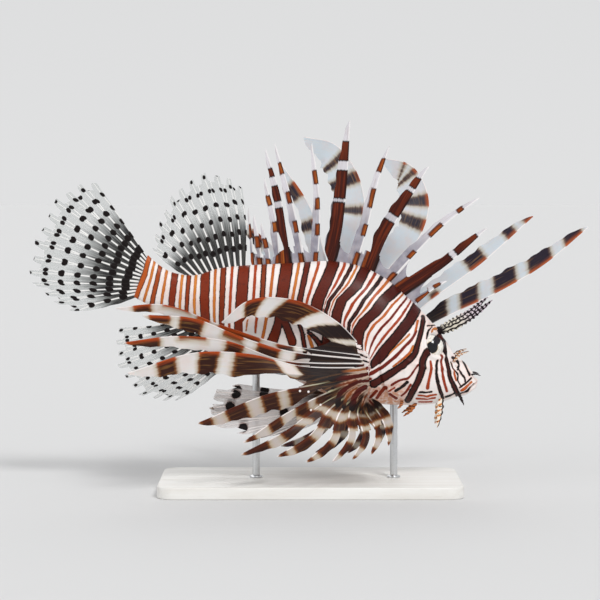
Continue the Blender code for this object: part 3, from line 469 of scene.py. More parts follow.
def locate(x, z):
    """The station place and the level, from -1 at the belly to 1 at the back, of a side view point."""
    top, bottom = STATION_LINES[:, 0:2], STATION_LINES[:, 2:4]
    axis = bottom - top
    away = np.array((x, z)) - top
    miss = np.abs(axis[:, 0] * away[:, 1] - axis[:, 1] * away[:, 0]) / np.linalg.norm(axis, axis=1)
    best = int(np.argmin(miss))
    level = 1 - 2 * float(away[best] @ axis[best]) / float(axis[best] @ axis[best])
    return STATION_SAMPLES[best], level


def flank(x, z):
    """Half width of the body at a side view point."""
    place, level = locate(x, z)
    _, _, _, _, half_width, skew = stations_at(place)[0]
    across = max(1 - abs(level) ** ROUNDNESS, 0.0) ** (1 / ROUNDNESS)
    return half_width * across * (1 + skew * level)


def back_height(x):
    return float(np.interp(x, STATION_LINES[:, 0], STATION_LINES[:, 1]))


def belly_height(x):
    return float(np.interp(x, STATION_LINES[:, 2], STATION_LINES[:, 3]))


def outward(x, z, side):
    """The direction in which the flank faces at a side view point."""
    step = 0.001
    along = (flank(x + step, z) - flank(x - step, z)) / (2 * step)
    up = (flank(x, z + step) - flank(x, z - step)) / (2 * step)
    facing = np.array((-along, side, -up))
    return facing / np.linalg.norm(facing)


def ease(value, low, high):
    u = np.clip((value - low) / (high - low), 0, 1)
    return u * u * (3 - 2 * u)


def hump(distance, width):
    return np.exp(-((distance / width) ** 2))


def distance_to_line(points, line):
    """Distance of each point from the line's straight pieces, and the share along the line of the nearest spot."""
    best = np.full(points.shape[:-1], np.inf)
    along = np.zeros(points.shape[:-1])
    pieces = len(line) - 1
    for i in range(pieces):
        start, step = line[i], line[i + 1] - line[i]
        share = np.clip((points - start) @ step / float(step @ step), 0, 1)
        away = np.linalg.norm(points - start - share[..., None] * step, axis=-1)
        nearer = away < best
        best = np.where(nearer, away, best)
        along = np.where(nearer, (i + share) / pieces, along)
    return best, along


def distance_to_way(points, way, pieces=24):
    return distance_to_line(points, smooth_path(way, np.linspace(0, 1, pieces + 1)))


def mesh_object(name, points, faces, attributes=None):
    mesh = bpy.data.meshes.new(name)
    mesh.from_pydata([tuple(p) for p in points], [], [tuple(f) for f in faces])
    for word, values in (attributes or {}).items():
        layer = mesh.attributes.new(word, "FLOAT", "POINT")
        layer.data.foreach_set("value", np.asarray(values, np.float32).ravel())
    mesh.shade_smooth()
    obj = bpy.data.objects.new(name, mesh)
    bpy.context.scene.collection.objects.link(obj)
    return obj


def grid_faces(rows, columns, start=0, closed=False):
    """Quads over a grid of points stored row after row."""
    faces = []
    last = columns if closed else columns - 1
    for row in range(rows - 1):
        for column in range(last):
            after = (column + 1) % columns
            a = start + row * columns
            b = a + columns
            faces.append((a + column, a + after, b + after, b + column))
    return faces


def finish_piece(obj, material, slot, *nodes):
    obj.data.materials.clear()
    obj.data.materials.append(material)
    if nodes:
        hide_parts(*nodes)
    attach(obj, "root")
    return obj


# Skin of the body


def body_points(count):
    """Rings of the body as an array of ring, point, coordinate, with each ring's place and each level."""
    places = np.concatenate(
        [
            np.linspace(0, HEAD_START, TRUNK_RINGS, endpoint=False),
            np.linspace(HEAD_START, LAST_STATION, HEAD_RINGS),
        ]
    )
    table = stations_at(places)
    top = np.stack([table[:, 0], np.zeros(len(places)), table[:, 1]], axis=1)
    bottom = np.stack([table[:, 2], np.zeros(len(places)), table[:, 3]], axis=1)
    turns = 2 * np.pi * np.arange(count) / count
    level = np.sign(np.cos(turns)) * np.abs(np.cos(turns)) ** (2 / ROUNDNESS)
    out = np.sign(np.sin(turns)) * np.abs(np.sin(turns)) ** (2 / ROUNDNESS)
    middle = (top + bottom) / 2
    up = (top - bottom) / 2
    points = middle[:, None, :] + up[:, None, :] * level[None, :, None]
    side = table[:, 4:5] * out[None, :] * (1 + table[:, 5:6] * level[None, :])
    points[:, :, 1] += side
    return points, places, level


def ring_normals(points):
    along = np.gradient(points, axis=0)
    around = (np.roll(points, -1, axis=1) - np.roll(points, 1, axis=1)) / 2
    normals = np.cross(along, around)
    lengths = np.linalg.norm(normals, axis=-1, keepdims=True)
    normals = normals / np.maximum(lengths, 1e-12)
    middle = points.mean(axis=1, keepdims=True)
    outward_sign = np.sign(((points - middle) * normals).sum(axis=-1, keepdims=True))
    return normals * np.where(outward_sign == 0, 1, outward_sign)


def orbit_relief(points):
    """The raised skin round each eye, and the hollow outside it."""
    x, _, z = EYE_PLACE
    relief = np.zeros(points.shape[:2])
    for side in (-1, 1):
        centre = np.array((x, side * EYE_PLACE[1], z))
        facing = outward(x, z, side)
        away = points - centre
        depth = away @ facing
        radius = np.linalg.norm(away - depth[..., None] * facing, axis=-1)
        near = ease(depth, -2 * MM, 1 * MM)
        relief -= near * 2.4 * MM * np.exp(-((radius / (7.4 * MM)) ** 6))
        relief += near * 0.9 * MM * hump(radius - 9.0 * MM, 1.1 * MM)
        relief -= near * 0.5 * MM * hump(radius - 11.4 * MM, 1.2 * MM)
    return relief


def gill_relief(points):
    """The gill cover's raised rear edge, a curve that is furthest back at mid height."""
    x, z = points[..., 0], points[..., 2]
    edge = 0.0455 + 12.0 * (z - 0.088) ** 2
    ahead = x - edge
    within = ease(z, 0.060, 0.068) * (1 - ease(z, 0.112, 0.120))
    step = ease(ahead, -0.4 * MM, 0.6 * MM) * (1 - ease(ahead, 2 * MM, 24 * MM))
    groove = hump(ahead + 0.6 * MM, 0.8 * MM)
    return within * (1.3 * MM * step - 0.5 * MM * groove)


def bony_ridge(height, width, knobs, *way):
    """A ridge under the skin: height and width in millimetres, how many knobs, its way in the side view."""
    return height, width, knobs, [(x, 0.0, z) for x, z in way]


RIDGES = (
    bony_ridge(1.1, 1.2, 7, (0.1000, 0.0790), (0.0890, 0.0815), (0.0740, 0.0840), (0.0600, 0.0900)),
    bony_ridge(0.8, 1.4, 5, (0.0680, 0.1000), (0.0620, 0.0860), (0.0660, 0.0720), (0.0780, 0.0630)),
    bony_ridge(0.9, 1.5, 6, (0.0990, 0.0900), (0.0915, 0.1010), (0.0840, 0.1080), (0.0720, 0.1150)),
    bony_ridge(0.7, 1.1, 4, (0.0870, 0.0830), (0.0850, 0.0740), (0.0860, 0.0660)),
    bony_ridge(0.6, 1.0, 4, (0.0560, 0.1080), (0.0520, 0.0960), (0.0530, 0.0840)),
)


def cheek_relief(points):
    """Bony ridges: under the eye, round the cheek, over the brow."""
    flat = points.copy()
    flat[..., 1] = 0
    relief = np.zeros(points.shape[:2])
    for height, width, knobs, way in RIDGES:
        away, share = distance_to_way(flat, way)
        knobby = 0.6 + 0.4 * np.cos(2 * np.pi * share * knobs)
        relief += height * MM * knobby * hump(away, width * MM)
    return relief * ease(points[..., 0], 0.046, 0.056)


def snout_relief(points):
    """The hollow before each eye, the knob over the nostril and the plate of the upper jaw."""
    flat = points.copy()
    flat[..., 1] = 0
    off_middle = ease(np.abs(points[..., 1]), 1.5 * MM, 5 * MM)
    hollow, _ = distance_to_way(flat, ((0.0925, 0, 0.0955), (0.0950, 0, 0.0890), (0.0965, 0, 0.0830)))
    knob = np.linalg.norm(flat - np.array((0.0975, 0, 0.0890)), axis=-1)
    plate, _ = distance_to_way(flat, ((0.0950, 0, 0.0730), (0.0990, 0, 0.0690), (0.1040, 0, 0.0672)))
    relief = -1.1 * MM * hump(hollow, 2.4 * MM) * off_middle
    relief += 0.7 * MM * hump(knob, 1.8 * MM) * off_middle
    relief += 0.8 * MM * hump(plate, 1.7 * MM) * off_middle
    return relief


def mouth_relief(points):
    corner = np.array((MOUTH_CORNER[0], 0, MOUTH_CORNER[1]))
    front = np.array((MOUTH_FRONT[0], 0, MOUTH_FRONT[1]))
    forward = (front - corner) / np.linalg.norm(front - corner)
    normal = np.array((-forward[2], 0, forward[0]))
    ahead = (points - corner) @ forward
    above = (points - corner) @ normal
    slit = ease(ahead, -1.2 * MM, 0.6 * MM) * hump(above, 0.45 * MM)
    lips = ease(ahead, -4.0 * MM, 2.0 * MM) * hump(np.abs(above) - 1.7 * MM, 1.0 * MM)
    return 1.0 * MM * lips - 1.9 * MM * slit


def nostril_relief(points):
    x, z = NOSTRIL_PLACE
    relief = np.zeros(points.shape[:2])
    for side in (-1, 1):
        centre = np.array((x, side * flank(x, z), z))
        away = np.linalg.norm(points - centre, axis=-1)
        relief += 0.35 * MM * hump(away - 1.5 * MM, 0.6 * MM) - 1.2 * MM * hump(away, 0.8 * MM)
    return relief


def fin_root_relief(points):
    """The fleshy base of each pectoral fin."""
    relief = np.zeros(points.shape[:2])
    for side, way in ((-1, RIGHT_PECTORAL_ROOT), (1, LEFT_PECTORAL_ROOT)):
        rooted = [(x, side * flank(x, z), z) for x, z in way]
        away, _ = distance_to_way(points, rooted)
        relief += 1.8 * MM * hump(away, 4.5 * MM)
    return relief


def skin_rings(count):
    """Rings with this many points each: the points, and the fields that the markings need."""
    points, places, level = body_points(count)
    normals = ring_normals(points)
    fields = stripe_fields(points, places, level)
    relief = (
        orbit_relief(points)
        + gill_relief(points)
        + cheek_relief(points)
        + snout_relief(points)
        + mouth_relief(points)
        + nostril_relief(points)
        + fin_root_relief(points)
    )
    return points + normals * relief[..., None], fields


SKIN_FIELDS = ("stripe_depth", "stripe_warmth", "line_phase", "line_spacing", "line_tone", "line_depth")


def mark_depths(flat, marks, behind=SKIN_DEPTH):
    """Depth inside the nearest of these marks, that mark's tone or warmth, and the share along its way."""
    depth = np.full(flat.shape[:-1], -9 * MM)
    value = np.zeros(flat.shape[:-1])
    run = np.zeros(flat.shape[:-1])
    for one in marks:
        way = [from_photo(u, v, behind) for u, v in one["points"]]
        away, share = distance_to_way(flat, way, 6 * (len(way) - 1))
        start, end = one["widths"]
        inside = (start + (end - start) * share) / 2 / PIXELS_PER_METRE - away
        deeper = inside > depth
        depth = np.where(deeper, inside, depth)
        value = np.where(deeper, one["warm"] if one["tone"] is None else one["tone"], value)
        run = np.where(deeper, share, run)
    return depth, value, run


def split_marks(marks):
    dark = [one for one in marks if one["tone"] is None]
    return dark, [one for one in marks if one["tone"] is not None]


def stripe_fields(points, places, level):
    """The skin's fields at each point: depth inside a dark stripe, how warm it is, phase, spacing and tone
    of the thin lines between stripes, and depth inside a thin line that is drawn by itself."""
    count = len(STRIPES)
    crossings = np.zeros((count, *level.shape))
    for k, one in enumerate(STRIPES):
        spots = [locate(*from_photo(u, v, SKIN_DEPTH)) for u, v in one["points"]]
        spots.sort(key=lambda spot: spot[1])
        marks = np.array([spot[1] for spot in spots])
        where = np.array([spot[0] for spot in spots])
        crossings[k] = np.interp(level, marks, where)
    for k in range(1, count):
        crossings[k] = np.maximum(crossings[k], crossings[k - 1] + 0.04)
    here = np.zeros(points.shape[:2])
    for j in range(points.shape[1]):
        line = points[:, j]
        here[:, j] = np.concatenate([[0.0], np.cumsum(np.linalg.norm(np.diff(line, axis=0), axis=1))])
    at = np.zeros((count, len(level)))
    for j in range(len(level)):
        at[:, j] = np.interp(crossings[:, j], places, here[:, j])
    widths = np.array([one["width"] for one in STRIPES]) / PIXELS_PER_METRE
    inside = np.full(points.shape[:2], -1.0)
    warm = np.zeros(points.shape[:2])
    nearest = np.full(points.shape[:2], np.inf)
    for k, one in enumerate(STRIPES):
        away = np.abs(here - at[k][None, :])
        left = ease(points[..., 2], one["stop"] - 1 * MM, one["stop"] + 9 * MM)
        inside = np.maximum(inside, widths[k] / 2 * (1.6 * left - 0.6) - away)
        closer = away < nearest
        nearest = np.where(closer, away, nearest)
        warm = np.where(closer, one["warm"], warm)
    phase = np.full(points.shape[:2], -1.0)
    spacing = np.ones(points.shape[:2])
    tone = np.zeros(points.shape[:2])
    for k in range(count - 1):
        tones = STRIPES[k]["lines"]
        if not tones:
            continue
        low = at[k] + widths[k] / 2
        high = at[k + 1] - widths[k + 1] / 2
        gap = np.maximum(high - low, 1e-5)
        within = (here >= at[k]) & (here < at[k + 1])
        share = (here - low) / gap
        phase = np.where(within, share * len(tones), phase)
        spacing = np.where(within, gap / len(tones), spacing)
        which = np.clip((share * len(tones)).astype(int), 0, len(tones) - 1)
        tone = np.where(within, np.array(tones)[which], tone)
    flat = points[..., (0, 2)]
    own_line = np.full(points.shape[:2], -9 * MM)
    head = here > at[-1][None, :]
    right = points[..., 1] < 0
    arch = np.array([from_photo(u, v, SKIN_DEPTH) for u, v in ARCH_LINE])
    under = flat[..., 1] < np.interp(flat[..., 0], arch[:, 0], arch[:, 1], left=-1, right=-1)
    for region, marks in ((head, HEAD_MARKS), (head, ROOT_MARKS), (right & under & ~head, ARCH_MARKS)):
        dark, thin = split_marks(marks)
        depth, warmth, _ = mark_depths(flat, dark)
        if marks is ARCH_MARKS:
            inside = np.where(region, depth, inside)
            phase = np.where(region, -1.0, phase)
        deeper = region & (depth >= inside)
        warm = np.where(deeper, warmth, warm)
        inside = np.where(deeper, depth, inside)
        if thin:
            depth, thin_tone, _ = mark_depths(flat, thin)
            deeper = region & (depth > own_line)
            tone = np.where(deeper & (depth > -MM), thin_tone, tone)
            own_line = np.where(deeper, depth, own_line)
    return np.stack([inside / MM, warm, phase, spacing / MM, tone, own_line / MM])


def make_skin(material):
    trunk, trunk_fields = skin_rings(RING_POINTS)
    head, head_fields = skin_rings(2 * RING_POINTS)
    rings = [*trunk[:TRUNK_RINGS], *head[TRUNK_RINGS:]]
    fields = [trunk_fields[:, i] for i in range(TRUNK_RINGS)]
    fields += [head_fields[:, i] for i in range(TRUNK_RINGS, head.shape[0])]
    tip, last = head[-1], head[-1].mean(axis=0)
    for share in np.linspace(0, 1, 7)[1:]:
        size = math.sqrt(max(1 - share**2, 0.0)) if share < 1 else 0.02
        rings.append(last + (tip - last) * size + np.array((0.0009 * share, 0, 0)))
        fields.append(fields[-1])
    fine = 2 * RING_POINTS
    start = TRUNK_RINGS * RING_POINTS
    faces = grid_faces(TRUNK_RINGS, RING_POINTS, closed=True)
    faces += grid_faces(len(rings) - TRUNK_RINGS, fine, start, closed=True)
    for i in range(RING_POINTS):
        a, b = start - RING_POINTS + i, start - RING_POINTS + (i + 1) % RING_POINTS
        c = start + 2 * i
        faces.append((a, b, start + (2 * i + 2) % fine, c + 1, c))
    total = sum(len(ring) for ring in rings)
    faces.append(tuple(range(RING_POINTS))[::-1])
    faces.append(tuple(range(total - fine, total)))
    values = np.concatenate(fields, axis=1)
    skin = mesh_object("lionfish_skin", np.concatenate(rings), faces, dict(zip(SKIN_FIELDS, values)))
    turn_outward(skin)
    return finish_piece(skin, material, "skin", "head", "trunk", "tail")


def turn_outward(obj):
    bm = bmesh.new()
    bm.from_mesh(obj.data)
    bmesh.ops.recalc_face_normals(bm, faces=bm.faces)
    bm.to_mesh(obj.data)
    bm.free()
    obj.data.shade_smooth()


# Fins


def blade_width(shares, peak):
    """Share of a blade's full width: it grows to the peak, then tapers to the tip."""
    rising = 0.35 + 0.65 * np.sin(np.pi / 2 * np.clip(shares / peak, 0, 1))
    falling = np.maximum(1 - np.clip((shares - peak) / (1 - peak), 0, 1) ** 2, 0.0) ** 0.6
    return np.where(shares < peak, rising, np.maximum(falling, 0.06))


COARSE = {
    "blade": np.array((0.0, 0.03, 0.07, 0.12, 0.18, 0.26, 0.36, 0.48, 0.60, 0.72, 0.84, 0.93, 1.0)),
    "web": np.array((0.15, 0.3, 0.45, 0.6, 0.72, 0.82, 0.90, 0.96)),
}
FINE = {"blade": np.linspace(0, 1, 17), "web": np.linspace(0, 1, 17)[1:-1]}
FAR = -9.0


def band_depth(one, shares, length, reach):
    """Depth inside the nearest dark band, in millimetres. A band may end at a reach of its own."""
    depth = np.full(np.shape(shares), FAR)
    for middle, half, *own in one["bands"]:
        inside = (half - np.abs(shares - middle)) * length / MM
        if own:
            inside = np.minimum(inside, own[0] / MM + reach)
        depth = np.maximum(depth, inside)
    return depth


def fin_fields(name, rays, depths, side, rows, ridge, peak, material, slot, grid=COARSE, spots=None, fork=0.0,
               flute=0.4, sag=0.0, root_marks=()):
    """A fan of rays as one thin closed mesh, with the fields that its markings need.

    The grid is the solids' own: a blade behind each ray, and a web to the next ray. A fork is the share of the
    gap by which each ray's two branches stand off from its middle at the margin. The sag is the share of its
    height by which the web's margin hangs down between two rays.
    """
    shares = np.linspace(0, 1, rows + 1)
    ways, lengths = [], []
    for (root, one), depth in zip(rays, depths):
        flat = smooth_path([tuple(root), *one["points"]], shares)
        out = side * (depth + one["lean"] * shares**0.8)
        way = np.stack([flat[:, 0], out, flat[:, 1]], axis=1)
        ways.append(way)
        lengths.append(float(np.linalg.norm(np.diff(way, axis=0), axis=1).sum()))
    points, faces = [], []
    fields = {word: [] for word in ("share", "along", "from_ray", "band", "warmth", "ray_tone", "flesh", "spot", "margin", "thick")}
    total = 0

    def put(block, values):
        nonlocal total
        start = total
        points.append(block.reshape(-1, 3))
        for word, value in values.items():
            fields[word].append(np.broadcast_to(value, block.shape[:2]).ravel())
        total += block.shape[0] * block.shape[1]
        return start

    def gap_at(index):
        near = min(index, len(rays) - 2)
        return np.linalg.norm(ways[near + 1] - ways[near], axis=1)

    def forked(index, here, away):
        """Distance from the nearer branch of a ray."""
        if not fork:
            return away
        spread = fork * gap_at(index)[: len(here)] * ease(here[:, 0], 0.45, 1.0)
        return np.abs(away - spread[:, None])

    def spot_depth(index, here, away):
        """Depth inside a round spot on a ray, in millimetres: spots of all rays lie on common arcs."""
        if spots is None:
            return np.full(np.broadcast(here, away).shape, FAR)
        pitch, radius, first = spots
        along = here * lengths[index] - first * (1 + 0.16 * ((index * 0.618) % 1.0))
        phase = (along / pitch + 0.5) % 1.0 - 0.5
        size = radius * (1.15 - 0.5 * here)
        depth = size - np.sqrt((phase * pitch * 0.8) ** 2 + away**2)
        return np.where(along > -pitch * 0.5, depth, -0.009) / MM

    def margin_depth(here, across, web_share, length, near):
        """Depth inside the fin's margin, in millimetres."""
        if not sag:
            return np.full(np.broadcast(here, across).shape, -FAR)
        hang = 1 - sag * (4 * across * (1 - across)) ** 0.8
        return np.maximum(near, (hang * web_share - here) * length) / MM

    def fields_of(index, one, here, away, band, margin):
        toned = 0.5 + 0.5 * math.sin(12.9 * index + 1)
        flesh = 1.0 if one.get("fleshy") else 0.0
        branch = forked(index, here, away)
        return {
            "share": here,
            "along": here * lengths[index] / MM,
            "from_ray": branch / MM,
            "band": band,
            "warmth": one.get("warmth", 0.5),
            "ray_tone": toned,
            "flesh": flesh,
            "spot": spot_depth(index, here, branch),
            "margin": margin,
        }

    def thickness(here, away):
        ray_thick = ridge[0] + (ridge[1] - ridge[0]) * here
        return MEMBRANE + (ray_thick - MEMBRANE) * hump(away, 0.45 * MM + ray_thick * 0.35)

    blades, webs = grid["blade"], grid["web"]
    for index, (_, one) in enumerate(rays):
        way = ways[index]
        ahead = np.gradient(way, axis=0)
        across = np.stack([-ahead[:, 2], np.zeros(rows + 1), ahead[:, 0]], axis=1)
        across /= np.linalg.norm(across, axis=1, keepdims=True)
        across[:, 1] -= side * BLADE_CUP
        ripple = 1 + 0.05 * np.sin(shares * lengths[index] / 0.0042 + index) + 0.04 * np.sin(
            shares * lengths[index] / 0.0017 + 2 * index
        )
        width = one["width"] * blade_width(shares, one["widest"] or peak)
        edge = across * (width * ripple)[:, None]
        web_rows = max(1, round(one["web"] * 12)) * rows // 12 if index + 1 < len(rays) else 0
        if index + 1 < len(rays):
            webbed = (ways[index + 1] - way) * 0.5
            blend = ease(shares, web_rows / rows, web_rows / rows + WEB_EASE)[:, None]
            edge = webbed * (1 - blend) + edge * blend
        size = np.linalg.norm(edge, axis=1)
        block = way[:, None, :] + edge[:, None, :] * blades[None, :, None]
        away = size[:, None] * blades[None, :]
        wave = flute * MM * np.sin(shares * lengths[index] / 0.0035 + index * 1.7)[:, None]
        free = ease(shares, web_rows / rows, web_rows / rows + 0.15)[:, None]
        lift = (0.35 + 0.65 * free) * ease(shares, 0.05, 0.3)[:, None]
        block[:, :, 1] += wave * blades[None, :] ** 1.5 * lift
        here = shares[:, None]
        slanted = here - one["slant"] * away / lengths[index]
        band = band_depth(one, slanted, lengths[index], -away / MM)
        band = np.minimum(band, (one["reach"] - away) / MM)
        own_width = width[:, None] * 1.1
        across_gap = np.minimum(away / gap_at(index)[:, None], 0.5)
        margin = margin_depth(here, across_gap, web_rows / rows, lengths[index], own_width - away)
        values = fields_of(index, one, here, away, band, margin)
        start = put(block, {**values, "thick": thickness(here, away)})
        faces += grid_faces(rows + 1, len(blades), start)
        one["grid"] = (start, block, size, web_rows, own_width)
    for index in range(len(rays) - 1):
        one, after = rays[index][1], rays[index + 1][1]
        start_a, block_a, size_a, web_rows, own_width = one["grid"]
        start_b, block_b = after["grid"][:2]
        count = web_rows + 1
        left, right = block_a[:count, -1], block_b[:count, 0]
        mix = webs[None, :]
        block = left[:, None, :] + (right - left)[:, None, :] * mix[..., None]
        gap = np.linalg.norm(right - left, axis=1)[:, None]
        away = gap * (1 - mix)
        behind = size_a[:count, None] + gap * mix
        here = shares[:count, None]
        own = band_depth(one, here - one["slant"] * behind / lengths[index], lengths[index], -behind / MM)
        coming = band_depth(after, here, lengths[index + 1], -away / MM)
        if one["reach"] < 1:
            own = np.minimum(own, (one["reach"] - behind) / MM)
            coming = np.minimum(coming, (after["ahead"] - away) / MM)
            band = np.maximum(own, coming)
        else:
            band = own * (1 - mix) + coming * mix
        near = np.maximum(own_width[:count] - behind, 0.6 * MM - away)
        across_gap = behind / (size_a[:count, None] + gap)
        margin = margin_depth(here, across_gap, web_rows / rows, lengths[index], near)
        values = fields_of(index + 1, after, here, away, band, margin)
        start = put(block, {**values, "thick": thickness(here, away)})
        columns, blade_columns = len(webs), len(blades)
        faces += grid_faces(count, columns, start)
        for row in range(count - 1):
            a = start_a + row * blade_columns + blade_columns - 1
            b = a + blade_columns
            faces.append((a, start + row * columns, start + (row + 1) * columns, b))
            c, d = start + row * columns + columns - 1, start + (row + 1) * columns + columns - 1
            faces.append((c, start_b + row * blade_columns, start_b + (row + 1) * blade_columns, d))
    surface = np.concatenate(points)
    values = {word: np.concatenate(blocks) for word, blocks in fields.items()}
    if root_marks:
        depth, warmth, run = mark_depths(surface[:, (0, 2)], root_marks, FLESHY_DEPTH)
        values.update({"root_band": depth / MM, "root_warmth": warmth, "root_run": run})
    shell, shell_faces = thickened(surface, faces, values.pop("thick"))
    doubled = {word: np.concatenate([value, value]) for word, value in values.items()}
    obj = mesh_object(f"{name}_membrane", shell, shell_faces, doubled)
    turn_outward(obj)
    obj.data.set_sharp_from_angle(angle=math.radians(60))
    return finish_piece(obj, material, slot, name)


def thickened(points, faces, thickness):
    """A closed shell of the given thickness at each point of an open surface of quads."""
    quads = np.array(faces)
    normals = np.zeros_like(points)
    turn = np.cross(points[quads[:, 2]] - points[quads[:, 0]], points[quads[:, 3]] - points[quads[:, 1]])
    for corner in range(4):
        np.add.at(normals, quads[:, corner], turn)
    normals /= np.maximum(np.linalg.norm(normals, axis=1, keepdims=True), 1e-15)
    offset = normals * thickness[:, None] / 2
    count = len(points)
    edges = np.concatenate([quads[:, [i, (i + 1) % 4]] for i in range(4)])
    keys = np.sort(edges, axis=1)
    _, first, used = np.unique(keys, axis=0, return_index=True, return_counts=True)
    rim = edges[first[used == 1]]
    sides = np.stack([rim[:, 1], rim[:, 0], rim[:, 0] + count, rim[:, 1] + count], axis=1)
    everything = np.concatenate([quads, quads[:, ::-1] + count, sides])
    return np.concatenate([points + offset, points - offset]), everything.tolist()


def fan_rays(fan, bands=()):
    """Rays from the root line to a smooth margin, spaced evenly, with their roots under the skin."""
    rays = []
    start, end = (np.array(point) for point in fan["root"])
    for i in range(fan["rays"]):
        share = i / (fan["rays"] - 1)
        root = start + (end - start) * share
        tip = smooth_path(fan["margin"], share)[0]
        along = (tip - root) * (1 + MARGIN_WAVE * math.sin(2.4 * i))
        middle = root + along / 2 + fan["bow"] * np.array((-along[1], along[0]))
        sunk = root - along / np.linalg.norm(along) * ROOT_DEPTH
        rays.append((sunk, ray(0.004, 0.9, 0.0, tuple(middle), tuple(root + along), bands=bands)))
    return rays


def make_fins(finishes):
    for side, word, root_line, table in (
        (-1, "right", RIGHT_PECTORAL_ROOT, RIGHT_PECTORAL),
        (1, "left", LEFT_PECTORAL_ROOT, LEFT_PECTORAL),
    ):
        roots = smooth_path(root_line, np.linspace(0, 1, len(table)))
        rays = list(zip(roots, table))
        for one in table:
            one["fleshy"] = one["points"][0][1] < FLESHY_BELOW
        depths = [flank(*root) - ROOT_DEPTH for root in roots]
        fin_fields(
            f"pectoral_fin_{word}", rays, depths, side, 72, (0.0014, 0.0006), 0.45, finishes[f"banded_{word}"], "fin",
            sag=0.25, root_marks=FLESHY_MARKS,
        )
    for word, table in (("front", FRONT_SPINES), ("rear", REAR_SPINES)):
        rays = [(np.array((x, back_height(x) - ROOT_DEPTH)), one) for x, one in table]
        middle = [0.0] * len(rays)
        fin_fields(
            f"dorsal_spines_{word}", rays, middle, 1, 60, (0.0022, 0.0005), 0.15, finishes["spines"], "fin", sag=0.4
        )
    for name, fan, spots in (
        ("dorsal_fin_soft", SOFT_DORSAL, (0.0100, 0.0017, 0.0140)),
        ("caudal_fin", CAUDAL, (0.0108, 0.0021, 0.0110)),
        ("anal_fin", ANAL, (0.0092, 0.0016, 0.0120)),
    ):
        rays = fan_rays(fan)
        fin_fields(
            name, rays, [0.0] * len(rays), 1, 60, (0.0010, 0.0004), 0.45, finishes["spotted"], "fin",
            grid=FINE, spots=spots, fork=0.2, flute=0.15,
        )
    for side, word in ((-1, "right"), (1, "left")):
        rays = fan_rays(PELVIC)
        for _, one in rays:
            one["lean"] = PELVIC_LEAN
        depths = [PELVIC_SIDE] * len(rays)
        fin_fields(
            f"pelvic_fin_{word}", rays, depths, side, 36, (0.0011, 0.0005), 0.45, finishes["pelvic"], "fin", fork=0.2
        )


# Tentacles and flaps


def flap(width, tone, *way):
    """A skin flap: width, tone from 0 for white and orange to 1 for black, and its way in the side view."""
    return {"width": width, "tone": tone, "way": way}


HEAD_FLAPS = (
    flap(0.0028, 0.2, (0.0950, 0.0862), (0.0985, 0.0905), (0.1053, 0.0933)),
    flap(0.0014, 0.9, (0.1065, 0.0770), (0.1100, 0.0778), (0.1133, 0.0768)),
    flap(0.0022, 1.0, (0.0975, 0.0665), (0.1003, 0.0620), (0.1020, 0.0573)),
    flap(0.0052, 0.0, (0.0868, 0.0625), (0.0860, 0.0520), (0.0843, 0.0427)),
    flap(0.0032, 0.5, (0.0705, 0.0590), (0.0665, 0.0535), (0.0617, 0.0500)),
    flap(0.0030, 0.4, (0.0610, 0.0615), (0.0600, 0.0575), (0.0580, 0.0555)),
)
FLAP_SPREAD = 0.0012
BROW_WAY = (
    (0.0850, 0.0070, 0.1055),
    (0.0967, 0.0130, 0.1110),
    (0.1067, 0.0160, 0.1170),
    (0.1200, 0.0190, 0.1277),
)
BROW_WIDTH = 0.0068


def leaf(points, width, side, thickness, rows=60, lobes=9, fringe=0.35):
    """A flat tapered flap with a lobed margin, as a closed shell: points, faces and fields."""
    shares = np.linspace(0, 1, rows + 1)
    way = smooth_path(points, shares)
    way[:, 1] *= side
    ahead = np.gradient(way, axis=0)
    across = np.stack([-ahead[:, 2], np.zeros(rows + 1), ahead[:, 0]], axis=1)
    across /= np.linalg.norm(across, axis=1, keepdims=True)
    taper = np.minimum(0.7 + shares, 1.0) * np.maximum(1 - shares**2.2, 0.0) ** 0.7
    taper = np.maximum(taper, 0.05)
    columns = np.linspace(-1, 1, 15)
    block = np.zeros((rows + 1, len(columns), 3))
    for j, column in enumerate(columns):
        shift = 0.0 if column > 0 else 0.5
        lobe = 1 - fringe * (0.5 + 0.5 * np.cos(2 * np.pi * (shares * lobes + shift))) * abs(column)
        block[:, j] = way + across * (width / 2 * taper * column * lobe)[:, None]
        block[:, j, 1] += side * 0.12 * width * column**2 * np.sin(shares * 9)
    thick = thickness * (0.35 + 0.65 * (1 - np.abs(columns[None, :]))) * (1 - 0.5 * shares[:, None])
    faces = grid_faces(rows + 1, len(columns))
    shell, shell_faces = thickened(block.reshape(-1, 3), faces, thick.ravel())
    share = np.broadcast_to(shares[:, None], block.shape[:2]).ravel()
    sideways = np.broadcast_to(columns[None, :], block.shape[:2]).ravel()
    return shell, shell_faces, {"share": np.tile(share, 2), "sideways": np.tile(sideways, 2)}


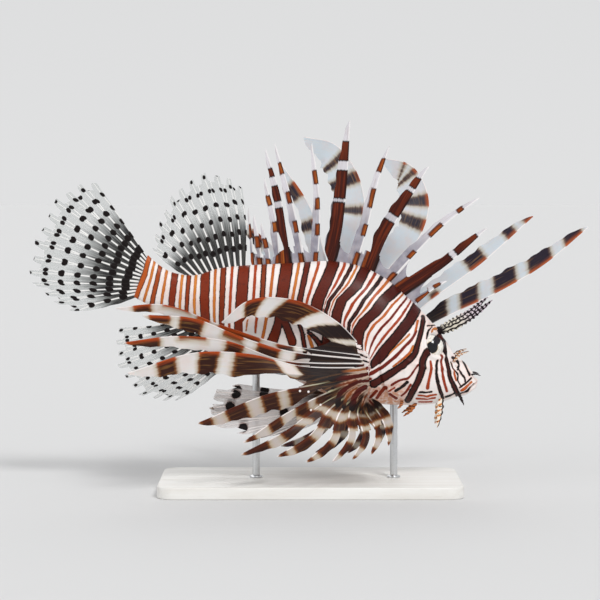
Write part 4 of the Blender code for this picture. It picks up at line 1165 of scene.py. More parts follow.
def make_flaps(brow_material, flap_material):
    for side, word in ((-1, "right"), (1, "left")):
        shell, faces, fields = leaf(BROW_WAY, BROW_WIDTH, side, 0.0008, rows=120, lobes=13, fringe=0.3)
        tentacle = mesh_object(f"brow_tentacle_{word}_skin", shell, faces, fields)
        turn_outward(tentacle)
        finish_piece(tentacle, brow_material, "skin", f"brow_tentacle_{word}")
    points, faces = [], []
    fields = {"share": [], "sideways": [], "tone": []}
    for one in HEAD_FLAPS:
        depth = flank(*one["way"][0]) - FLAP_SPREAD
        spread = [(x, depth + FLAP_SPREAD * i, z) for i, (x, z) in enumerate(one["way"])]
        for side in (-1, 1):
            shell, shell_faces, own = leaf(spread, one["width"], side, 0.0008, rows=40, lobes=5)
            start = sum(len(block) for block in points)
            points.append(shell)
            faces += [tuple(i + start for i in face) for face in shell_faces]
            own["tone"] = np.full(len(shell), one["tone"])
            for name, values in own.items():
                fields[name].append(values)
    fields = {name: np.concatenate(values) for name, values in fields.items()}
    flaps = mesh_object("face_flaps", np.concatenate(points), faces, fields)
    turn_outward(flaps)
    finish_piece(flaps, flap_material, "skin")


# Eyes


def make_eyes(material):
    x, y, z = EYE_PLACE
    for side, word in ((-1, "right"), (1, "left")):
        facing = Vector(outward(x, z, side) * 0.12 + np.array((0.02, side, 0.0)) * 0.88).normalized()
        bm = bmesh.new()
        bmesh.ops.create_uvsphere(bm, u_segments=64, v_segments=40, radius=EYE_RADIUS)
        for vert in bm.verts:
            swell = max(vert.co.z / EYE_RADIUS, 0.0) ** 6
            vert.co.z = vert.co.z * EYE_BULGE + 0.0006 * swell
        turn = facing.to_track_quat("Z", "Y").to_matrix()
        bmesh.ops.rotate(bm, verts=bm.verts, cent=(0, 0, 0), matrix=turn)
        mesh = bpy.data.meshes.new(f"eyeball_{word}")
        bm.to_mesh(mesh)
        bm.free()
        spots = np.array([v.co[:] for v in mesh.vertices])
        ahead = spots @ np.array(facing)
        flat = spots - ahead[:, None] * np.array(facing)
        radius = np.linalg.norm(flat, axis=1)
        radius = np.where(ahead > 0, radius, 2 * EYE_RADIUS - radius)
        band = np.array((17.0, 0.0, 23.0)) / math.hypot(17.0, 23.0)
        sideways = flat @ np.cross(band, np.array(facing))
        for attribute, values in (("from_pupil", radius / MM), ("from_band", sideways / MM)):
            layer = mesh.attributes.new(attribute, "FLOAT", "POINT")
            layer.data.foreach_set("value", values.astype(np.float32))
        mesh.shade_smooth()
        ball = bpy.data.objects.new(f"eyeball_{word}", mesh)
        bpy.context.scene.collection.objects.link(ball)
        ball.location = (x, side * (y + EYE_OUT), z)
        bpy.context.view_layer.update()
        finish_piece(ball, material, "eye", f"eye_{word}")


# Stand


def make_stand(lacquer, steel):
    length, width, height = BASE_SIZE
    bm = bmesh.new()
    bmesh.ops.create_cube(bm, size=1.0)
    bmesh.ops.scale(bm, vec=BASE_SIZE, verts=bm.verts)
    bmesh.ops.translate(bm, vec=(0, 0, height / 2), verts=bm.verts)
    upright = [e for e in bm.edges if abs(e.verts[0].co.z - e.verts[1].co.z) > height / 2]
    bmesh.ops.bevel(bm, geom=upright, offset=BASE_CORNER, segments=12, affect="EDGES", profile=0.5)
    rims = [e for e in bm.edges if abs(e.calc_face_angle(0.0)) > 1.2]
    bmesh.ops.bevel(bm, geom=rims, offset=0.0009, segments=4, affect="EDGES", profile=0.5)
    mesh = bpy.data.meshes.new("stand_plinth")
    bm.to_mesh(mesh)
    bm.free()
    mesh.shade_smooth()
    mesh.set_sharp_from_angle(angle=math.radians(30))
    plinth = bpy.data.objects.new("stand_plinth", mesh)
    bpy.context.scene.collection.objects.link(plinth)
    finish_piece(plinth, lacquer, "stand_base", "stand_base")
    for word, x in RODS.items():
        top = belly_height(x) + 0.0005
        rod = turned(f"stand_post_{word}", rod_profile(height, top), (x, 0, 0), steel)
        finish_piece(rod, steel, "stand_rod", f"stand_rod_{word}")


def rod_profile(low, top):
    """Radius and height of a straight rod with a small collar at its foot."""
    radius = ROD_RADIUS
    return (
        (0.0, low - 0.003),
        (radius, low - 0.003),
        (radius, low),
        (radius + 0.0018, low + 0.0001),
        (radius + 0.0020, low + 0.0004),
        (radius + 0.0018, low + 0.0011),
        (radius + 0.0003, low + 0.0016),
        (radius, low + 0.0019),
        (radius, top),
        (0.0, top),
    )


def turned(name, profile, place, material, segments=48):
    """A turned piece: the profile of radius and height swept round its axis."""
    bm = bmesh.new()
    rows = []
    for radius, height in profile:
        if radius == 0:
            rows.append([bm.verts.new((0, 0, height))])
            continue
        turns = [2 * math.pi * i / segments for i in range(segments)]
        rows.append([bm.verts.new((radius * math.cos(t), radius * math.sin(t), height)) for t in turns])
    for first, second in zip(rows, rows[1:]):
        for i in range(segments):
            j = (i + 1) % segments
            if len(first) == 1:
                bm.faces.new((first[0], second[j], second[i]))
            elif len(second) == 1:
                bm.faces.new((first[i], first[j], second[0]))
            else:
                bm.faces.new((first[i], first[j], second[j], second[i]))
    bmesh.ops.recalc_face_normals(bm, faces=bm.faces)
    mesh = bpy.data.meshes.new(name)
    bm.to_mesh(mesh)
    bm.free()
    mesh.shade_smooth()
    mesh.set_sharp_from_angle(angle=math.radians(30))
    obj = bpy.data.objects.new(name, mesh)
    bpy.context.scene.collection.objects.link(obj)
    obj.location = place
    bpy.context.view_layer.update()
    return obj


# Finishes


class Net:
    """A small helper to lay out shader nodes: each call adds one node and returns an output of it."""

    def __init__(self, tree):
        self.tree = tree

    def add(self, kind, inputs=(), output=0, **settings):
        node = self.tree.nodes.new(kind)
        for word, value in settings.items():
            setattr(node, word, value)
        for key, value in dict(inputs).items():
            self.set(node.inputs[key], value)
        return node.outputs[output]

    def set(self, socket, value):
        if isinstance(value, bpy.types.NodeSocket):
            self.tree.links.new(value, socket)
        elif value is not None:
            socket.default_value = value

    def math(self, operation, a, b=None, c=None):
        return self.add("ShaderNodeMath", {0: a, 1: b, 2: c}, operation=operation)

    def mix(self, factor, a, b):
        return self.add("ShaderNodeMix", {0: factor, 6: a, 7: b}, output=2, data_type="RGBA")

    def mix_value(self, factor, a, b):
        return self.add("ShaderNodeMix", {0: factor, 2: a, 3: b}, data_type="FLOAT")

    def step(self, value, low, high):
        """Rises smoothly from 0 to 1 between low and high."""
        return self.add(
            "ShaderNodeMapRange",
            {"Value": value, "From Min": low, "From Max": high},
            interpolation_type="SMOOTHSTEP",
        )

    def attribute(self, word):
        return self.add("ShaderNodeAttribute", output=2, attribute_name=word)

    def noise(self, scale, detail=3.0, roughness=0.5, vector=None):
        return self.add(
            "ShaderNodeTexNoise",
            {"Vector": vector, "Scale": scale, "Detail": detail, "Roughness": roughness},
        )

    def place(self):
        return self.add("ShaderNodeTexCoord", output=3)

    def group(self, tree, inputs=(), output=0):
        node = self.tree.nodes.new("ShaderNodeGroup")
        node.node_tree = tree
        for key, value in dict(inputs).items():
            self.set(node.inputs[key], value)
        return node.outputs[output]


def new_group(name, inputs, outputs):
    """An empty node group with these sockets. Returns its tree, a Net, the input node and the output node."""
    tree = bpy.data.node_groups.new(name, "ShaderNodeTree")
    for word, kind, value in inputs:
        socket = tree.interface.new_socket(word, in_out="INPUT", socket_type=kind)
        if value is not None:
            socket.default_value = value
    for word, kind in outputs:
        tree.interface.new_socket(word, in_out="OUTPUT", socket_type=kind)
    return tree, Net(tree), tree.nodes.new("NodeGroupInput"), tree.nodes.new("NodeGroupOutput")


FLOAT, COLOUR = "NodeSocketFloat", "NodeSocketColor"


def ragged_edge_group():
    """Turns a depth in millimetres into a mask with an uneven edge."""
    tree, net, given, made = new_group(
        "Ragged edge",
        (("Depth", FLOAT, 0.0), ("Wander", FLOAT, 0.4), ("Softness", FLOAT, 0.15)),
        (("Mask", FLOAT),),
    )
    wide = net.math("SUBTRACT", net.noise(260.0, 2.0, vector=net.place()), 0.5)
    fine = net.math("SUBTRACT", net.noise(1100.0, 2.0, vector=net.place()), 0.5)
    wander = net.math("MULTIPLY_ADD", fine, 0.5, wide)
    shifted = net.math("MULTIPLY_ADD", wander, net.math("MULTIPLY", given.outputs["Wander"], 4.0), given.outputs["Depth"])
    low = net.math("MULTIPLY", given.outputs["Softness"], -1.0)
    net.set(made.inputs["Mask"], net.step(shifted, low, given.outputs["Softness"]))
    return tree


def scales_group():
    """Height of small overlapping scales with a little grain."""
    tree, net, given, made = new_group(
        "Small scales", (("Scale Size", FLOAT, 1.5), ("Grain", FLOAT, 0.3)), (("Height", FLOAT),)
    )
    spread = net.math("DIVIDE", 1000.0, given.outputs["Scale Size"])
    stretched = net.add("ShaderNodeMapping", {"Vector": net.place(), "Scale": (0.8, 1.0, 1.15)})
    cells = net.add("ShaderNodeTexVoronoi", {"Vector": stretched, "Scale": spread}, feature="F1")
    dome = net.math("SUBTRACT", 1.0, cells)
    grain = net.noise(2600.0, 2.0, vector=net.place())
    net.set(made.inputs["Height"], net.math("MULTIPLY_ADD", grain, given.outputs["Grain"], dome))
    return tree


def new_material(name, gloss=0.5):
    material = bpy.data.materials.new(name)
    material.use_nodes = True
    shader = material.node_tree.nodes["Principled BSDF"]
    shader.inputs["Specular IOR Level"].default_value = gloss
    return material, Net(material.node_tree), shader


def rgb(red, green, blue):
    return (red, green, blue, 1.0)


SKIN_GLOSS = 0.16
BLACK = rgb(0.006, 0.003, 0.003)
STRIPE_TAIL = rgb(0.225, 0.027, 0.006)
STRIPE_HEAD = rgb(0.055, 0.0055, 0.0035)
STRIPE_WARM = rgb(0.480, 0.095, 0.014)
WHITE = rgb(0.850, 0.790, 0.765)
PINK = rgb(0.720, 0.470, 0.400)
CREAM = rgb(0.740, 0.640, 0.450)
LINE_YELLOW = rgb(0.620, 0.210, 0.032)
LINE_ORANGE = rgb(0.400, 0.050, 0.008)
LINE_RED = rgb(0.150, 0.011, 0.005)
FIN_BLACK = rgb(0.009, 0.005, 0.005)
THROAT = rgb(0.640, 0.310, 0.190)


def skin_material(groups):
    material, net, shader = new_material("striped_skin", SKIN_GLOSS)
    depth = net.attribute("stripe_depth")
    place = net.place()
    forward = net.step(net.add("ShaderNodeSeparateXYZ", {"Vector": place}, output=0), -0.11, 0.07)
    stain = net.noise(420.0, 3.0, vector=place)
    fine = net.noise(1800.0, 2.0, vector=place)
    # Dark stripes: black outline, red-brown inside
    dark = net.group(groups["edge"], {"Depth": depth, "Wander": 0.26, "Softness": 0.12})
    outline = net.math("MULTIPLY_ADD", forward, 0.55, 0.50)
    core = net.group(
        groups["edge"], {"Depth": net.math("SUBTRACT", depth, outline), "Wander": 0.28, "Softness": 0.3}
    )
    inner = net.mix(forward, STRIPE_TAIL, STRIPE_HEAD)
    warmer = net.math("MULTIPLY", net.step(fine, 0.45, 0.8), net.math("MULTIPLY_ADD", forward, -0.38, 0.5))
    inner = net.mix(warmer, inner, net.mix(0.5, inner, LINE_ORANGE))
    inner = net.mix(net.math("MULTIPLY", net.step(stain, 0.5, 0.8), 0.35), inner, BLACK)
    inner = net.mix(net.attribute("stripe_warmth"), inner, STRIPE_WARM)
    stripe_colour = net.mix(core, BLACK, inner)
    # Thin lines between them
    phase = net.attribute("line_phase")
    spacing = net.attribute("line_spacing")
    away = net.math("ABSOLUTE", net.math("SUBTRACT", net.math("FRACT", phase), 0.5))
    half = net.math("MINIMUM", net.math("MULTIPLY", spacing, 0.17), 0.95)
    between = net.math("SUBTRACT", half, net.math("MULTIPLY", away, spacing))
    between = net.mix_value(net.step(phase, 0.0, 0.05), FAR, between)
    line_depth = net.math("MAXIMUM", between, net.attribute("line_depth"))
    line = net.group(groups["edge"], {"Depth": line_depth, "Wander": 0.20, "Softness": 0.12})
    line_core = net.group(
        groups["edge"], {"Depth": net.math("SUBTRACT", line_depth, 0.3), "Wander": 0.2, "Softness": 0.2}
    )
    tone = net.math("MULTIPLY_ADD", net.math("SUBTRACT", net.noise(60.0, 1.0, vector=place), 0.5), 0.5, net.attribute("line_tone"))
    line_colour = net.mix(net.step(tone, 0.0, 0.5), LINE_YELLOW, LINE_ORANGE)
    line_colour = net.mix(net.step(tone, 0.5, 1.0), line_colour, LINE_RED)
    rim = net.mix(0.55, line_colour, LINE_RED)
    line_colour = net.mix(line_core, rim, line_colour)
    # White ground, pink beside the stripes and in soft patches
    patch = net.noise(75.0, 2.0, vector=place)
    white = net.mix(net.math("MULTIPLY", net.step(patch, 0.45, 0.8), 0.5), WHITE, PINK)
    low = net.step(net.add("ShaderNodeSeparateXYZ", {"Vector": place}, output=2), 0.079, 0.066)
    behind = net.step(net.add("ShaderNodeSeparateXYZ", {"Vector": place}, output=0), 0.069, 0.057)
    white = net.mix(net.math("MULTIPLY", net.math("MULTIPLY", low, behind), net.step(stain, 0.25, 0.6)), white, THROAT)
    beside = net.math("MAXIMUM", net.step(depth, -0.75, -0.05), net.step(line_depth, -0.6, -0.05))
    white = net.mix(net.math("MULTIPLY", beside, 0.55), white, PINK)
    colour = net.mix(line, white, line_colour)
    colour = net.mix(dark, colour, stripe_colour)
    net.set(shader.inputs["Base Color"], colour)
    height = net.group(groups["scales"], {"Scale Size": 1.35, "Grain": 0.25})
    bump = net.add("ShaderNodeBump", {"Height": height, "Strength": 0.45, "Distance": 0.00022})
    net.set(shader.inputs["Normal"], bump)
    rough = net.add("ShaderNodeMapRange", {"Value": stain, "To Min": 0.36, "To Max": 0.52})
    net.set(shader.inputs["Roughness"], rough)
    shader.inputs["Coat Weight"].default_value = 0.08
    shader.inputs["Coat Roughness"].default_value = 0.25
    shader.inputs["Subsurface Weight"].default_value = 0.06
    shader.inputs["Subsurface Radius"].default_value = (0.003, 0.0012, 0.0008)
    return material


def streaks(net, lengthwise, crosswise):
    """Noise drawn out along the rays."""
    along = net.math("MULTIPLY", net.attribute("along"), lengthwise)
    across = net.math("MULTIPLY", net.attribute("from_ray"), crosswise)
    apart = net.math("MULTIPLY", net.attribute("ray_tone"), 40.0)
    vector = net.add("ShaderNodeCombineXYZ", {"X": along, "Y": across, "Z": apart})
    return net.noise(1.0, 3.0, vector=vector)


def near_places(net, places, radius):
    """Depth in millimetres inside round marks at these side view places."""
    flat = net.add("ShaderNodeVectorMath", {0: net.place(), 1: (1.0, 0.0, 1.0)}, operation="MULTIPLY")
    depth = None
    for x, z in places:
        away = net.add("ShaderNodeVectorMath", {0: flat, 1: (x, 0.0, z)}, output=1, operation="DISTANCE")
        inside = net.math("MULTIPLY_ADD", away, -1 / MM, radius / MM)
        depth = inside if depth is None else net.math("MAXIMUM", depth, inside)
    return depth


def fin_material(name, groups, pale, core, rim, lead, flecks=(), clearness=0.94):
    """Pale membrane with dark bands: a brown rim, a darker core and warm colour along the ray."""
    material, net, shader = new_material(name, SKIN_GLOSS)
    away = net.attribute("from_ray")
    share = net.attribute("share")
    flesh = net.attribute("flesh")
    streak = streaks(net, 0.06, 0.55)
    wisp = streaks(net, 0.02, 2.6)
    depth = net.math("MULTIPLY_ADD", net.math("SUBTRACT", streak, 0.5), 3.0, net.attribute("band"))
    depth = net.math("MULTIPLY_ADD", net.math("SUBTRACT", wisp, 0.5), 1.2, depth)
    dark = net.step(depth, -1.2, 1.0)
    inner = net.step(depth, 0.3, 2.6)
    place = net.place()
    cloud = net.noise(110.0, 3.0, vector=place)
    # Pale parts, duskier on the lower rays and brownish beside the bands
    pale_colour = net.mix(net.step(cloud, 0.35, 0.8), pale, net.mix(0.3, pale, PINK))
    pale_colour = net.mix(net.step(wisp, 0.52, 0.72), pale_colour, net.mix(0.3, pale_colour, CREAM))
    pale_colour = net.mix(net.math("MULTIPLY", flesh, 0.7), pale_colour, rgb(0.40, 0.33, 0.29))
    beside = net.math("MULTIPLY", net.step(depth, -4.0, -0.2), 0.55)
    pale_colour = net.mix(beside, pale_colour, rgb(0.42, 0.32, 0.17))
    on_ray = net.step(away, 0.75, 0.25)
    pale_colour = net.mix(on_ray, pale_colour, WHITE)
    # Dark bands, warm along the ray, black near the body
    band = net.mix(inner, rim, core)
    band = net.mix(net.math("MULTIPLY", net.step(wisp, 0.42, 0.66), 0.5), band, net.mix(0.6, band, FIN_BLACK))
    golden = net.math("MULTIPLY", net.step(streaks(net, 0.05, 0.8), 0.50, 0.72), net.math("MULTIPLY_ADD", flesh, -0.4, 0.6))
    band = net.mix(golden, band, net.mix(0.5, rim, rgb(0.30, 0.16, 0.045)))
    far_out = net.step(share, 0.26, 0.42)
    warm = net.math("MULTIPLY", net.step(away, 3.4, 0.2), net.step(streak, 0.15, 0.6))
    warm = net.math("MULTIPLY", net.math("MULTIPLY", warm, far_out), net.math("MULTIPLY_ADD", flesh, -0.75, 0.9))
    band = net.mix(net.math("MULTIPLY", net.math("SUBTRACT", 1.0, far_out), 0.85), band, FIN_BLACK)
    band = net.mix(warm, band, lead)
    colour = net.mix(dark, pale_colour, band)
    bright = net.math("MULTIPLY", net.step(away, 0.65, 0.3), net.step(share, 0.48, 0.3))
    colour = net.mix(net.math("MULTIPLY", bright, 0.8), colour, WHITE)
    # Base of the lower rays: bold pale-edged bands, then black with a pale line on each ray
    ragged = net.noise(520.0, 3.0, vector=place)
    edge = net.math("ADD", net.attribute("root_band"), net.math("MULTIPLY_ADD", ragged, 0.9, -0.45))
    run = net.math("MULTIPLY_ADD", streak, 0.25, net.attribute("root_run"))
    bold = net.mix(net.attribute("root_warmth"), rgb(0.075, 0.007, 0.004), rgb(0.300, 0.090, 0.020))
    bold = net.mix(net.step(run, 0.70, 1.10), bold, FIN_BLACK)
    outline = net.mix(net.step(ragged, 0.35, 0.65), rgb(0.43, 0.26, 0.18), rgb(0.28, 0.13, 0.08))
    outline = net.mix(net.step(share, 0.16, 0.05), outline, rgb(0.45, 0.34, 0.27))
    shadow = net.math("MULTIPLY", flesh, net.step(net.math("MULTIPLY_ADD", streak, 0.2, share), 0.54, 0.38))
    sooty = net.mix(net.step(streak, 0.30, 0.55), rgb(0.110, 0.048, 0.018), FIN_BLACK)
    olive = net.math("MULTIPLY", net.step(away, 0.8, 0.35), net.step(share, 0.22, 0.34))
    sooty = net.mix(net.math("MULTIPLY", olive, 0.8), sooty, rgb(0.42, 0.40, 0.24))
    colour = net.mix(shadow, colour, sooty)
    near_root = net.math("MULTIPLY", flesh, net.step(share, 0.13, 0.06))
    ringed = net.math("MULTIPLY", net.step(edge, -1.05, -0.60), net.step(run, 0.95, 0.55))
    colour = net.mix(net.math("MAXIMUM", near_root, ringed), colour, outline)
    colour = net.mix(net.step(edge, -0.25, 0.15), colour, bold)
    if flecks:
        dots = near_places(net, flecks, 0.0008)
        colour = net.mix(net.step(dots, 0.0, 0.15), colour, WHITE)
    net.set(shader.inputs["Base Color"], colour)
    solid = net.math("MAXIMUM", on_ray, dark)
    alpha = net.add("ShaderNodeMapRange", {"Value": solid, "To Min": clearness, "To Max": 1.0})
    net.set(shader.inputs["Alpha"], net.math("MULTIPLY", alpha, net.step(net.attribute("margin"), -0.1, 0.1)))
    wrinkles = net.math("ADD", net.noise(1500.0, 3.0, vector=place), net.math("MULTIPLY", wisp, 1.2))
    bump = net.add("ShaderNodeBump", {"Height": wrinkles, "Strength": 0.35, "Distance": 0.00018})
    net.set(shader.inputs["Normal"], bump)
    shader.inputs["Roughness"].default_value = 0.40
    shader.inputs["Subsurface Weight"].default_value = 0.08
    shader.inputs["Subsurface Radius"].default_value = (0.002, 0.001, 0.001)
    return material


def spine_material(groups):
    """Dorsal spines: maroon or orange-brown bands, white between, on a lilac-grey membrane."""
    material, net, shader = new_material("spine_skin", SKIN_GLOSS)
    away = net.attribute("from_ray")
    warmth = net.attribute("warmth")
    streak = streaks(net, 0.12, 1.6)
    depth = net.math("MULTIPLY_ADD", net.math("SUBTRACT", streak, 0.5), 2.2, net.attribute("band"))
    dark = net.step(depth, -0.55, 0.55)
    inner = net.step(depth, 0.35, 1.5)
    share = net.attribute("share")
    flame = streaks(net, 0.035, 0.7)
    maroon = net.mix(inner, rgb(0.012, 0.004, 0.003), rgb(0.048, 0.0065, 0.003))
    maroon = net.mix(net.math("MULTIPLY", net.step(flame, 0.42, 0.68), inner), maroon, rgb(0.135, 0.020, 0.005))
    maroon = net.mix(net.math("MULTIPLY", net.step(share, 0.60, 0.92), inner), maroon, rgb(0.150, 0.024, 0.006))
    brown = net.mix(inner, rgb(0.080, 0.016, 0.005), rgb(0.270, 0.050, 0.008))
    brown = net.mix(net.math("MULTIPLY", net.step(flame, 0.45, 0.65), inner), brown, rgb(0.370, 0.105, 0.015))
    band = net.mix(warmth, maroon, brown)
    band = net.mix(net.math("MULTIPLY", net.step(streak, 0.48, 0.7), 0.4), band, BLACK)
    band = net.mix(net.math("MULTIPLY", net.step(away, 1.1, 0.4), 0.75), band, BLACK)
    cloud = net.noise(140.0, 2.0, vector=net.place())
    web = net.mix(net.step(cloud, 0.3, 0.75), rgb(0.27, 0.26, 0.32), rgb(0.46, 0.45, 0.50))
    pale = net.mix(net.step(share, 0.25, 0.6), web, rgb(0.64, 0.62, 0.655))
    pale = net.mix(net.step(streak, 0.42, 0.7), pale, net.mix(0.35, pale, rgb(0.40, 0.30, 0.28)))
    on_ray = net.step(away, 1.1, 0.5)
    pale = net.mix(on_ray, pale, rgb(0.78, 0.755, 0.755))
    net.set(shader.inputs["Base Color"], net.mix(dark, pale, band))
    solid = net.math("MAXIMUM", net.math("MAXIMUM", on_ray, dark), net.step(share, 0.3, 0.7))
    alpha = net.add("ShaderNodeMapRange", {"Value": solid, "To Min": 0.82, "To Max": 1.0})
    net.set(shader.inputs["Alpha"], net.math("MULTIPLY", alpha, net.step(net.attribute("margin"), -0.1, 0.1)))
    bump = net.add("ShaderNodeBump", {"Height": streak, "Strength": 0.35, "Distance": 0.0002})
    net.set(shader.inputs["Normal"], bump)
    shader.inputs["Roughness"].default_value = 0.40
    return material


def spotted_material(groups):
    """Clear membrane with white rays and round black spots on them. Near the body the membrane is painted near black
    and almost opaque, painted shade for the dark seen through the clear fin.
    """
    material, net, shader = new_material("spotted_fin", SKIN_GLOSS)
    spot = net.group(groups["edge"], {"Depth": net.attribute("spot"), "Wander": 0.22, "Softness": 0.12})
    share = net.attribute("share")
    away = net.attribute("from_ray")
    thin = net.math("MULTIPLY_ADD", share, -0.46, 0.70)
    on_ray = net.step(net.math("SUBTRACT", thin, away), -0.1, 0.1)
    streak = streaks(net, 0.05, 1.4)
    # Painted shade: near the body, out to a streaky uneven line, the clear membrane is painted near black, for the dark
    # seen through it.
    base = net.step(net.math("MULTIPLY_ADD", streak, 0.3, share), 0.88, 0.48)
    painted_shade_tint = net.mix(net.step(streak, 0.35, 0.65), rgb(0.016, 0.016, 0.019), rgb(0.060, 0.060, 0.054))
    film = net.mix(base, rgb(0.50, 0.52, 0.51), painted_shade_tint)
    colour = net.mix(on_ray, film, rgb(0.86, 0.85, 0.83))
    colour = net.mix(spot, colour, BLACK)
    net.set(shader.inputs["Base Color"], colour)
    # The painted shade near the body is made almost opaque.
    film_and_shade_alpha = net.add("ShaderNodeMapRange", {"Value": base, "To Min": 0.30, "To Max": 0.86})
    ray_alpha = net.math("MULTIPLY", on_ray, net.add("ShaderNodeMapRange", {"Value": share, "To Min": 1.0, "To Max": 0.7}))
    alpha = net.math("MAXIMUM", net.math("MAXIMUM", film_and_shade_alpha, ray_alpha), spot)
    net.set(shader.inputs["Alpha"], alpha)
    shader.inputs["Roughness"].default_value = 0.32
    return material


def pelvic_material(groups):
    """Thin pale membrane with a few large black spots."""
    material, net, shader = new_material("pelvic_fin", SKIN_GLOSS)
    streak = streaks(net, 0.05, 1.4)
    away = net.attribute("from_ray")
    share = net.attribute("share")
    places = [from_photo(u, v, -PELVIC_SIDE - PELVIC_LEAN / 2) for u, v in PELVIC_SPOTS]
    depth = near_places(net, places, 0.0030)
    spot = net.group(groups["edge"], {"Depth": depth, "Wander": 0.5, "Softness": 0.25})
    on_ray = net.step(away, 0.55, 0.2)
    film = net.mix(net.step(streak, 0.35, 0.7), rgb(0.70, 0.67, 0.67), rgb(0.63, 0.57, 0.54))
    film = net.mix(on_ray, film, WHITE)
    film = net.mix(net.step(share, 0.42, 0.2), film, rgb(0.05, 0.022, 0.014))
    halo = net.step(depth, -1.2, 0.0)
    film = net.mix(net.math("MULTIPLY", halo, 0.5), film, rgb(0.25, 0.06, 0.02))
    net.set(shader.inputs["Base Color"], net.mix(spot, film, BLACK))
    solid = net.math("MAXIMUM", net.math("MAXIMUM", on_ray, spot), net.step(share, 0.42, 0.2))
    alpha = net.add("ShaderNodeMapRange", {"Value": solid, "To Min": 0.42, "To Max": 1.0})
    net.set(shader.inputs["Alpha"], alpha)
    shader.inputs["Roughness"].default_value = 0.35
    return material


def brow_material():
    """The tentacle over the eye: two dark lengthwise lines, ticks on the margins, cross bands to the tip."""
    material, net, shader = new_material("brow_skin", SKIN_GLOSS)
    share = net.attribute("share")
    sideways = net.attribute("sideways")
    grain = net.math("SUBTRACT", net.noise(900.0, 2.0, vector=net.place()), 0.5)
    sway = net.math("MULTIPLY", net.math("SINE", net.math("MULTIPLY", share, 47.0)), 0.09)
    first = net.math("ABSOLUTE", net.math("SUBTRACT", net.math("SUBTRACT", sideways, 0.30), sway))
    second = net.math("ABSOLUTE", net.math("ADD", net.math("ADD", sideways, 0.50), sway))
    lines = net.step(net.math("MINIMUM", first, second), 0.27, 0.15)
    rings = net.step(net.math("MULTIPLY_ADD", grain, 2.0, net.math("SINE", net.math("MULTIPLY", share, 95.0))), -0.2, 0.2)
    edge = net.step(net.math("ABSOLUTE", sideways), 0.5, 0.62)
    where = net.math("MAXIMUM", net.math("MULTIPLY", edge, 0.9), net.step(share, 0.42, 0.6))
    root = net.step(share, 0.16, 0.07)
    dark = net.math("MAXIMUM", net.math("MAXIMUM", lines, net.math("MULTIPLY", rings, where)), root)
    pale = net.mix(net.step(share, 0.3, 0.7), rgb(0.72, 0.67, 0.55), rgb(0.66, 0.56, 0.62))
    net.set(shader.inputs["Base Color"], net.mix(dark, pale, rgb(0.010, 0.005, 0.007)))
    shader.inputs["Roughness"].default_value = 0.42
    return material


def flap_material():
    """Skin flaps of the face: white and orange with a dark edge, or nearly black."""
    material, net, shader = new_material("flap_skin", SKIN_GLOSS)
    share = net.attribute("share")
    sideways = net.attribute("sideways")
    tone = net.attribute("tone")
    grain = net.math("SUBTRACT", net.noise(700.0, 2.0, vector=net.place()), 0.5)
    wave = net.math("SINE", net.math("MULTIPLY_ADD", share, 34.0, net.math("MULTIPLY", sideways, 1.6)))
    bars = net.step(net.math("MULTIPLY_ADD", grain, 4.0, wave), 0.2, 0.6)
    pale = net.mix(bars, rgb(0.82, 0.76, 0.66), rgb(0.60, 0.22, 0.05))
    spots = net.step(net.math("MULTIPLY_ADD", grain, 3.0, net.math("SINE", net.math("MULTIPLY", share, 26.0))), 0.9, 1.2)
    pale = net.mix(spots, pale, rgb(0.10, 0.02, 0.01))
    edge = net.step(sideways, 0.35, 0.6)
    colour = net.mix(edge, pale, rgb(0.020, 0.010, 0.010))
    brown = net.mix(bars, rgb(0.42, 0.13, 0.035), rgb(0.07, 0.016, 0.010))
    colour = net.mix(net.step(tone, 0.1, 0.45), colour, brown)
    net.set(shader.inputs["Base Color"], net.mix(net.step(tone, 0.6, 0.9), colour, rgb(0.016, 0.009, 0.010)))
    shader.inputs["Roughness"].default_value = 0.42
    return material


def eye_material():
    material, net, shader = new_material("clear_eye", 0.2)
    radius = net.attribute("from_pupil")
    band = net.math("ABSOLUTE", net.attribute("from_band"))
    pupil = net.step(radius, PUPIL_RADIUS / MM + 0.12, PUPIL_RADIUS / MM - 0.12)
    grain = net.noise(650.0, 4.0, vector=net.place())
    stripe_half = net.math("MULTIPLY_ADD", grain, 1.6, 1.7)
    band_mask = net.step(net.math("SUBTRACT", stripe_half, band), -0.25, 0.25)
    iris = net.mix(net.step(grain, 0.4, 0.75), rgb(0.86, 0.84, 0.78), rgb(0.62, 0.56, 0.50))
    gold = net.step(net.math("ABSOLUTE", net.math("SUBTRACT", radius, PUPIL_RADIUS / MM + 0.2)), 0.28, 0.08)
    iris = net.mix(net.math("MULTIPLY", gold, 0.7), iris, rgb(0.55, 0.36, 0.14))
    iris = net.mix(band_mask, iris, rgb(0.012, 0.008, 0.012))
    iris = net.mix(net.step(radius, 7.7, 8.5), iris, rgb(0.05, 0.03, 0.03))
    net.set(shader.inputs["Base Color"], net.mix(pupil, iris, rgb(0.003, 0.003, 0.006)))
    shader.inputs["Roughness"].default_value = 0.16
    shader.inputs["Coat Weight"].default_value = 0.45
    shader.inputs["Coat Roughness"].default_value = 0.04
    return material


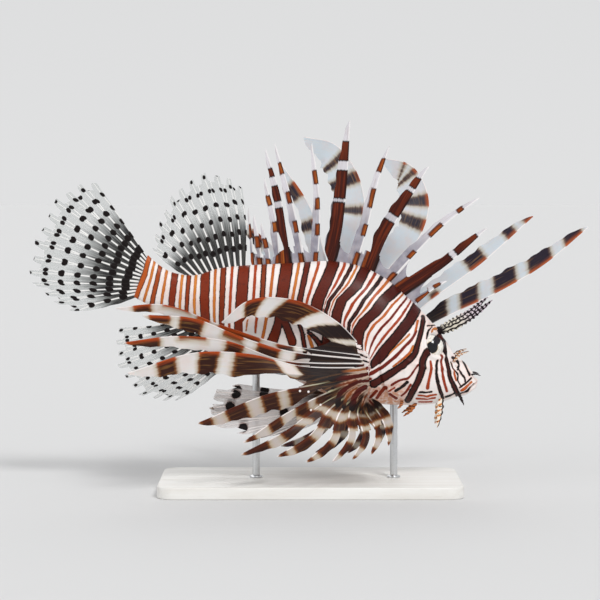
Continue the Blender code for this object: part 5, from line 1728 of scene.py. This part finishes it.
def lacquer_material():
    """Off-white satin lacquer on wood: the grain shows faintly, and a little more in the pores."""
    material, net, shader = new_material("base_lacquer", 0.35)
    stretched = net.add("ShaderNodeMapping", {"Vector": net.place(), "Scale": (6.0, 60.0, 60.0)})
    grain = net.noise(2.2, 6.0, 0.6, vector=stretched)
    pores = net.add("ShaderNodeMapping", {"Vector": net.place(), "Scale": (60.0, 900.0, 900.0)})
    pore = net.noise(1.5, 2.0, vector=pores)
    colour = net.mix(net.step(grain, 0.35, 0.68), (0.80, 0.79, 0.76, 1.0), (0.74, 0.72, 0.68, 1.0))
    colour = net.mix(net.math("MULTIPLY", net.step(pore, 0.55, 0.75), 0.25), colour, (0.58, 0.54, 0.48, 1.0))
    net.set(shader.inputs["Base Color"], colour)
    bump = net.add("ShaderNodeBump", {"Height": pore, "Strength": 0.2, "Distance": 0.0001})
    net.set(shader.inputs["Normal"], bump)
    rough = net.add("ShaderNodeMapRange", {"Value": grain, "To Min": 0.42, "To Max": 0.54})
    net.set(shader.inputs["Roughness"], rough)
    return material


def steel_material():
    material, net, shader = new_material("brushed_rod")
    stretched = net.add("ShaderNodeMapping", {"Vector": net.place(), "Scale": (300.0, 300.0, 9000.0)})
    lines = net.noise(1.0, 2.0, vector=stretched)
    rough = net.add("ShaderNodeMapRange", {"Value": lines, "To Min": 0.22, "To Max": 0.38})
    net.set(shader.inputs["Roughness"], rough)
    shade = net.mix(lines, (0.60, 0.61, 0.62, 1.0), (0.70, 0.71, 0.72, 1.0))
    net.set(shader.inputs["Base Color"], shade)
    shader.inputs["Metallic"].default_value = 1.0
    return material


# Stage


def make_world():
    """Soft light from all sides, brighter from above. The horizon is as bright as the far floor."""
    world = bpy.data.worlds.new("studio")
    world.use_nodes = True
    net = Net(world.node_tree)
    direction = net.add("ShaderNodeTexCoord", output=0)
    height = net.add("ShaderNodeSeparateXYZ", {"Vector": direction}, output=2)
    rise = net.add("ShaderNodeMapRange", {"Value": height, "From Min": 0.0, "From Max": 1.0})
    background = world.node_tree.nodes["Background"]
    net.set(background.inputs["Color"], net.mix(rise, WORLD_HORIZON, WORLD_TOP))
    background.inputs["Strength"].default_value = 1.0
    bpy.context.scene.world = world
    bpy.context.scene.view_settings.view_transform = "Standard"


def make_stage():
    bpy.ops.mesh.primitive_plane_add(size=30)
    floor = bpy.context.object
    floor.name = "floor"
    material, net, shader = new_material("floor_paper")
    shader.inputs["Base Color"].default_value = FLOOR_COLOUR
    shader.inputs["Roughness"].default_value = 0.9
    shader.inputs["Specular IOR Level"].default_value = 0.1
    floor.data.materials.append(material)
    make_world()
    for name, place, strength, angle in LIGHTS:
        light = bpy.data.lights.new(name, "SUN")
        light.energy = strength
        light.angle = math.radians(angle)
        lamp = bpy.data.objects.new(name, light)
        bpy.context.scene.collection.objects.link(lamp)
        lamp.location = place
        lamp.rotation_euler = Vector(place).to_track_quat("Z", "Y").to_euler()


def make_camera():
    x, z = PHOTO_CENTRE
    camera = bpy.data.cameras.new("camera")
    camera.sensor_width = SENSOR
    camera.lens = SENSOR * CAMERA_DISTANCE * PIXELS_PER_METRE / PHOTO_SIZE
    camera.clip_start = 0.01
    obj = bpy.data.objects.new("camera", camera)
    bpy.context.scene.collection.objects.link(obj)
    target = Vector((x, 0, z))
    back = Vector((0, -math.cos(CAMERA_RISE), math.sin(CAMERA_RISE))) * CAMERA_DISTANCE
    obj.location = target + back
    obj.rotation_euler = (-back).to_track_quat("-Z", "Y").to_euler()
    bpy.context.scene.camera = obj


def main():
    for obj in list(bpy.data.objects):
        bpy.data.objects.remove(obj)
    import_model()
    groups = {"edge": ragged_edge_group(), "scales": scales_group()}
    make_camera()
    make_stage()
    make_skin(skin_material(groups))
    flecks = [from_photo(u, v, -FLECK_DEPTH) for u, v in FLECKS]
    finishes = {
        "banded_right": fin_material(
            "banded_fin", groups, pale=rgb(0.70, 0.68, 0.67), core=rgb(0.034, 0.009, 0.005),
            rim=rgb(0.190, 0.066, 0.016), lead=rgb(0.480, 0.070, 0.011), flecks=flecks,
        ),
        # The far fin carries the near fin's markings; its blue-grey pale parts and cooler, greyer bands are painted
        # backlight, the look of light from behind through the membrane.
        "banded_left": fin_material(
            "backlit_cool_banded_fin", groups, pale=rgb(0.58, 0.64, 0.69), core=rgb(0.020, 0.014, 0.026),
            rim=rgb(0.120, 0.075, 0.060), lead=rgb(0.450, 0.095, 0.020),
        ),
        "spines": spine_material(groups),
        "spotted": spotted_material(groups),
        "pelvic": pelvic_material(groups),
    }
    make_fins(finishes)
    make_flaps(brow_material(), flap_material())
    make_eyes(eye_material())
    make_stand(lacquer_material(), steel_material())
    bpy.context.view_layer.update()


main()
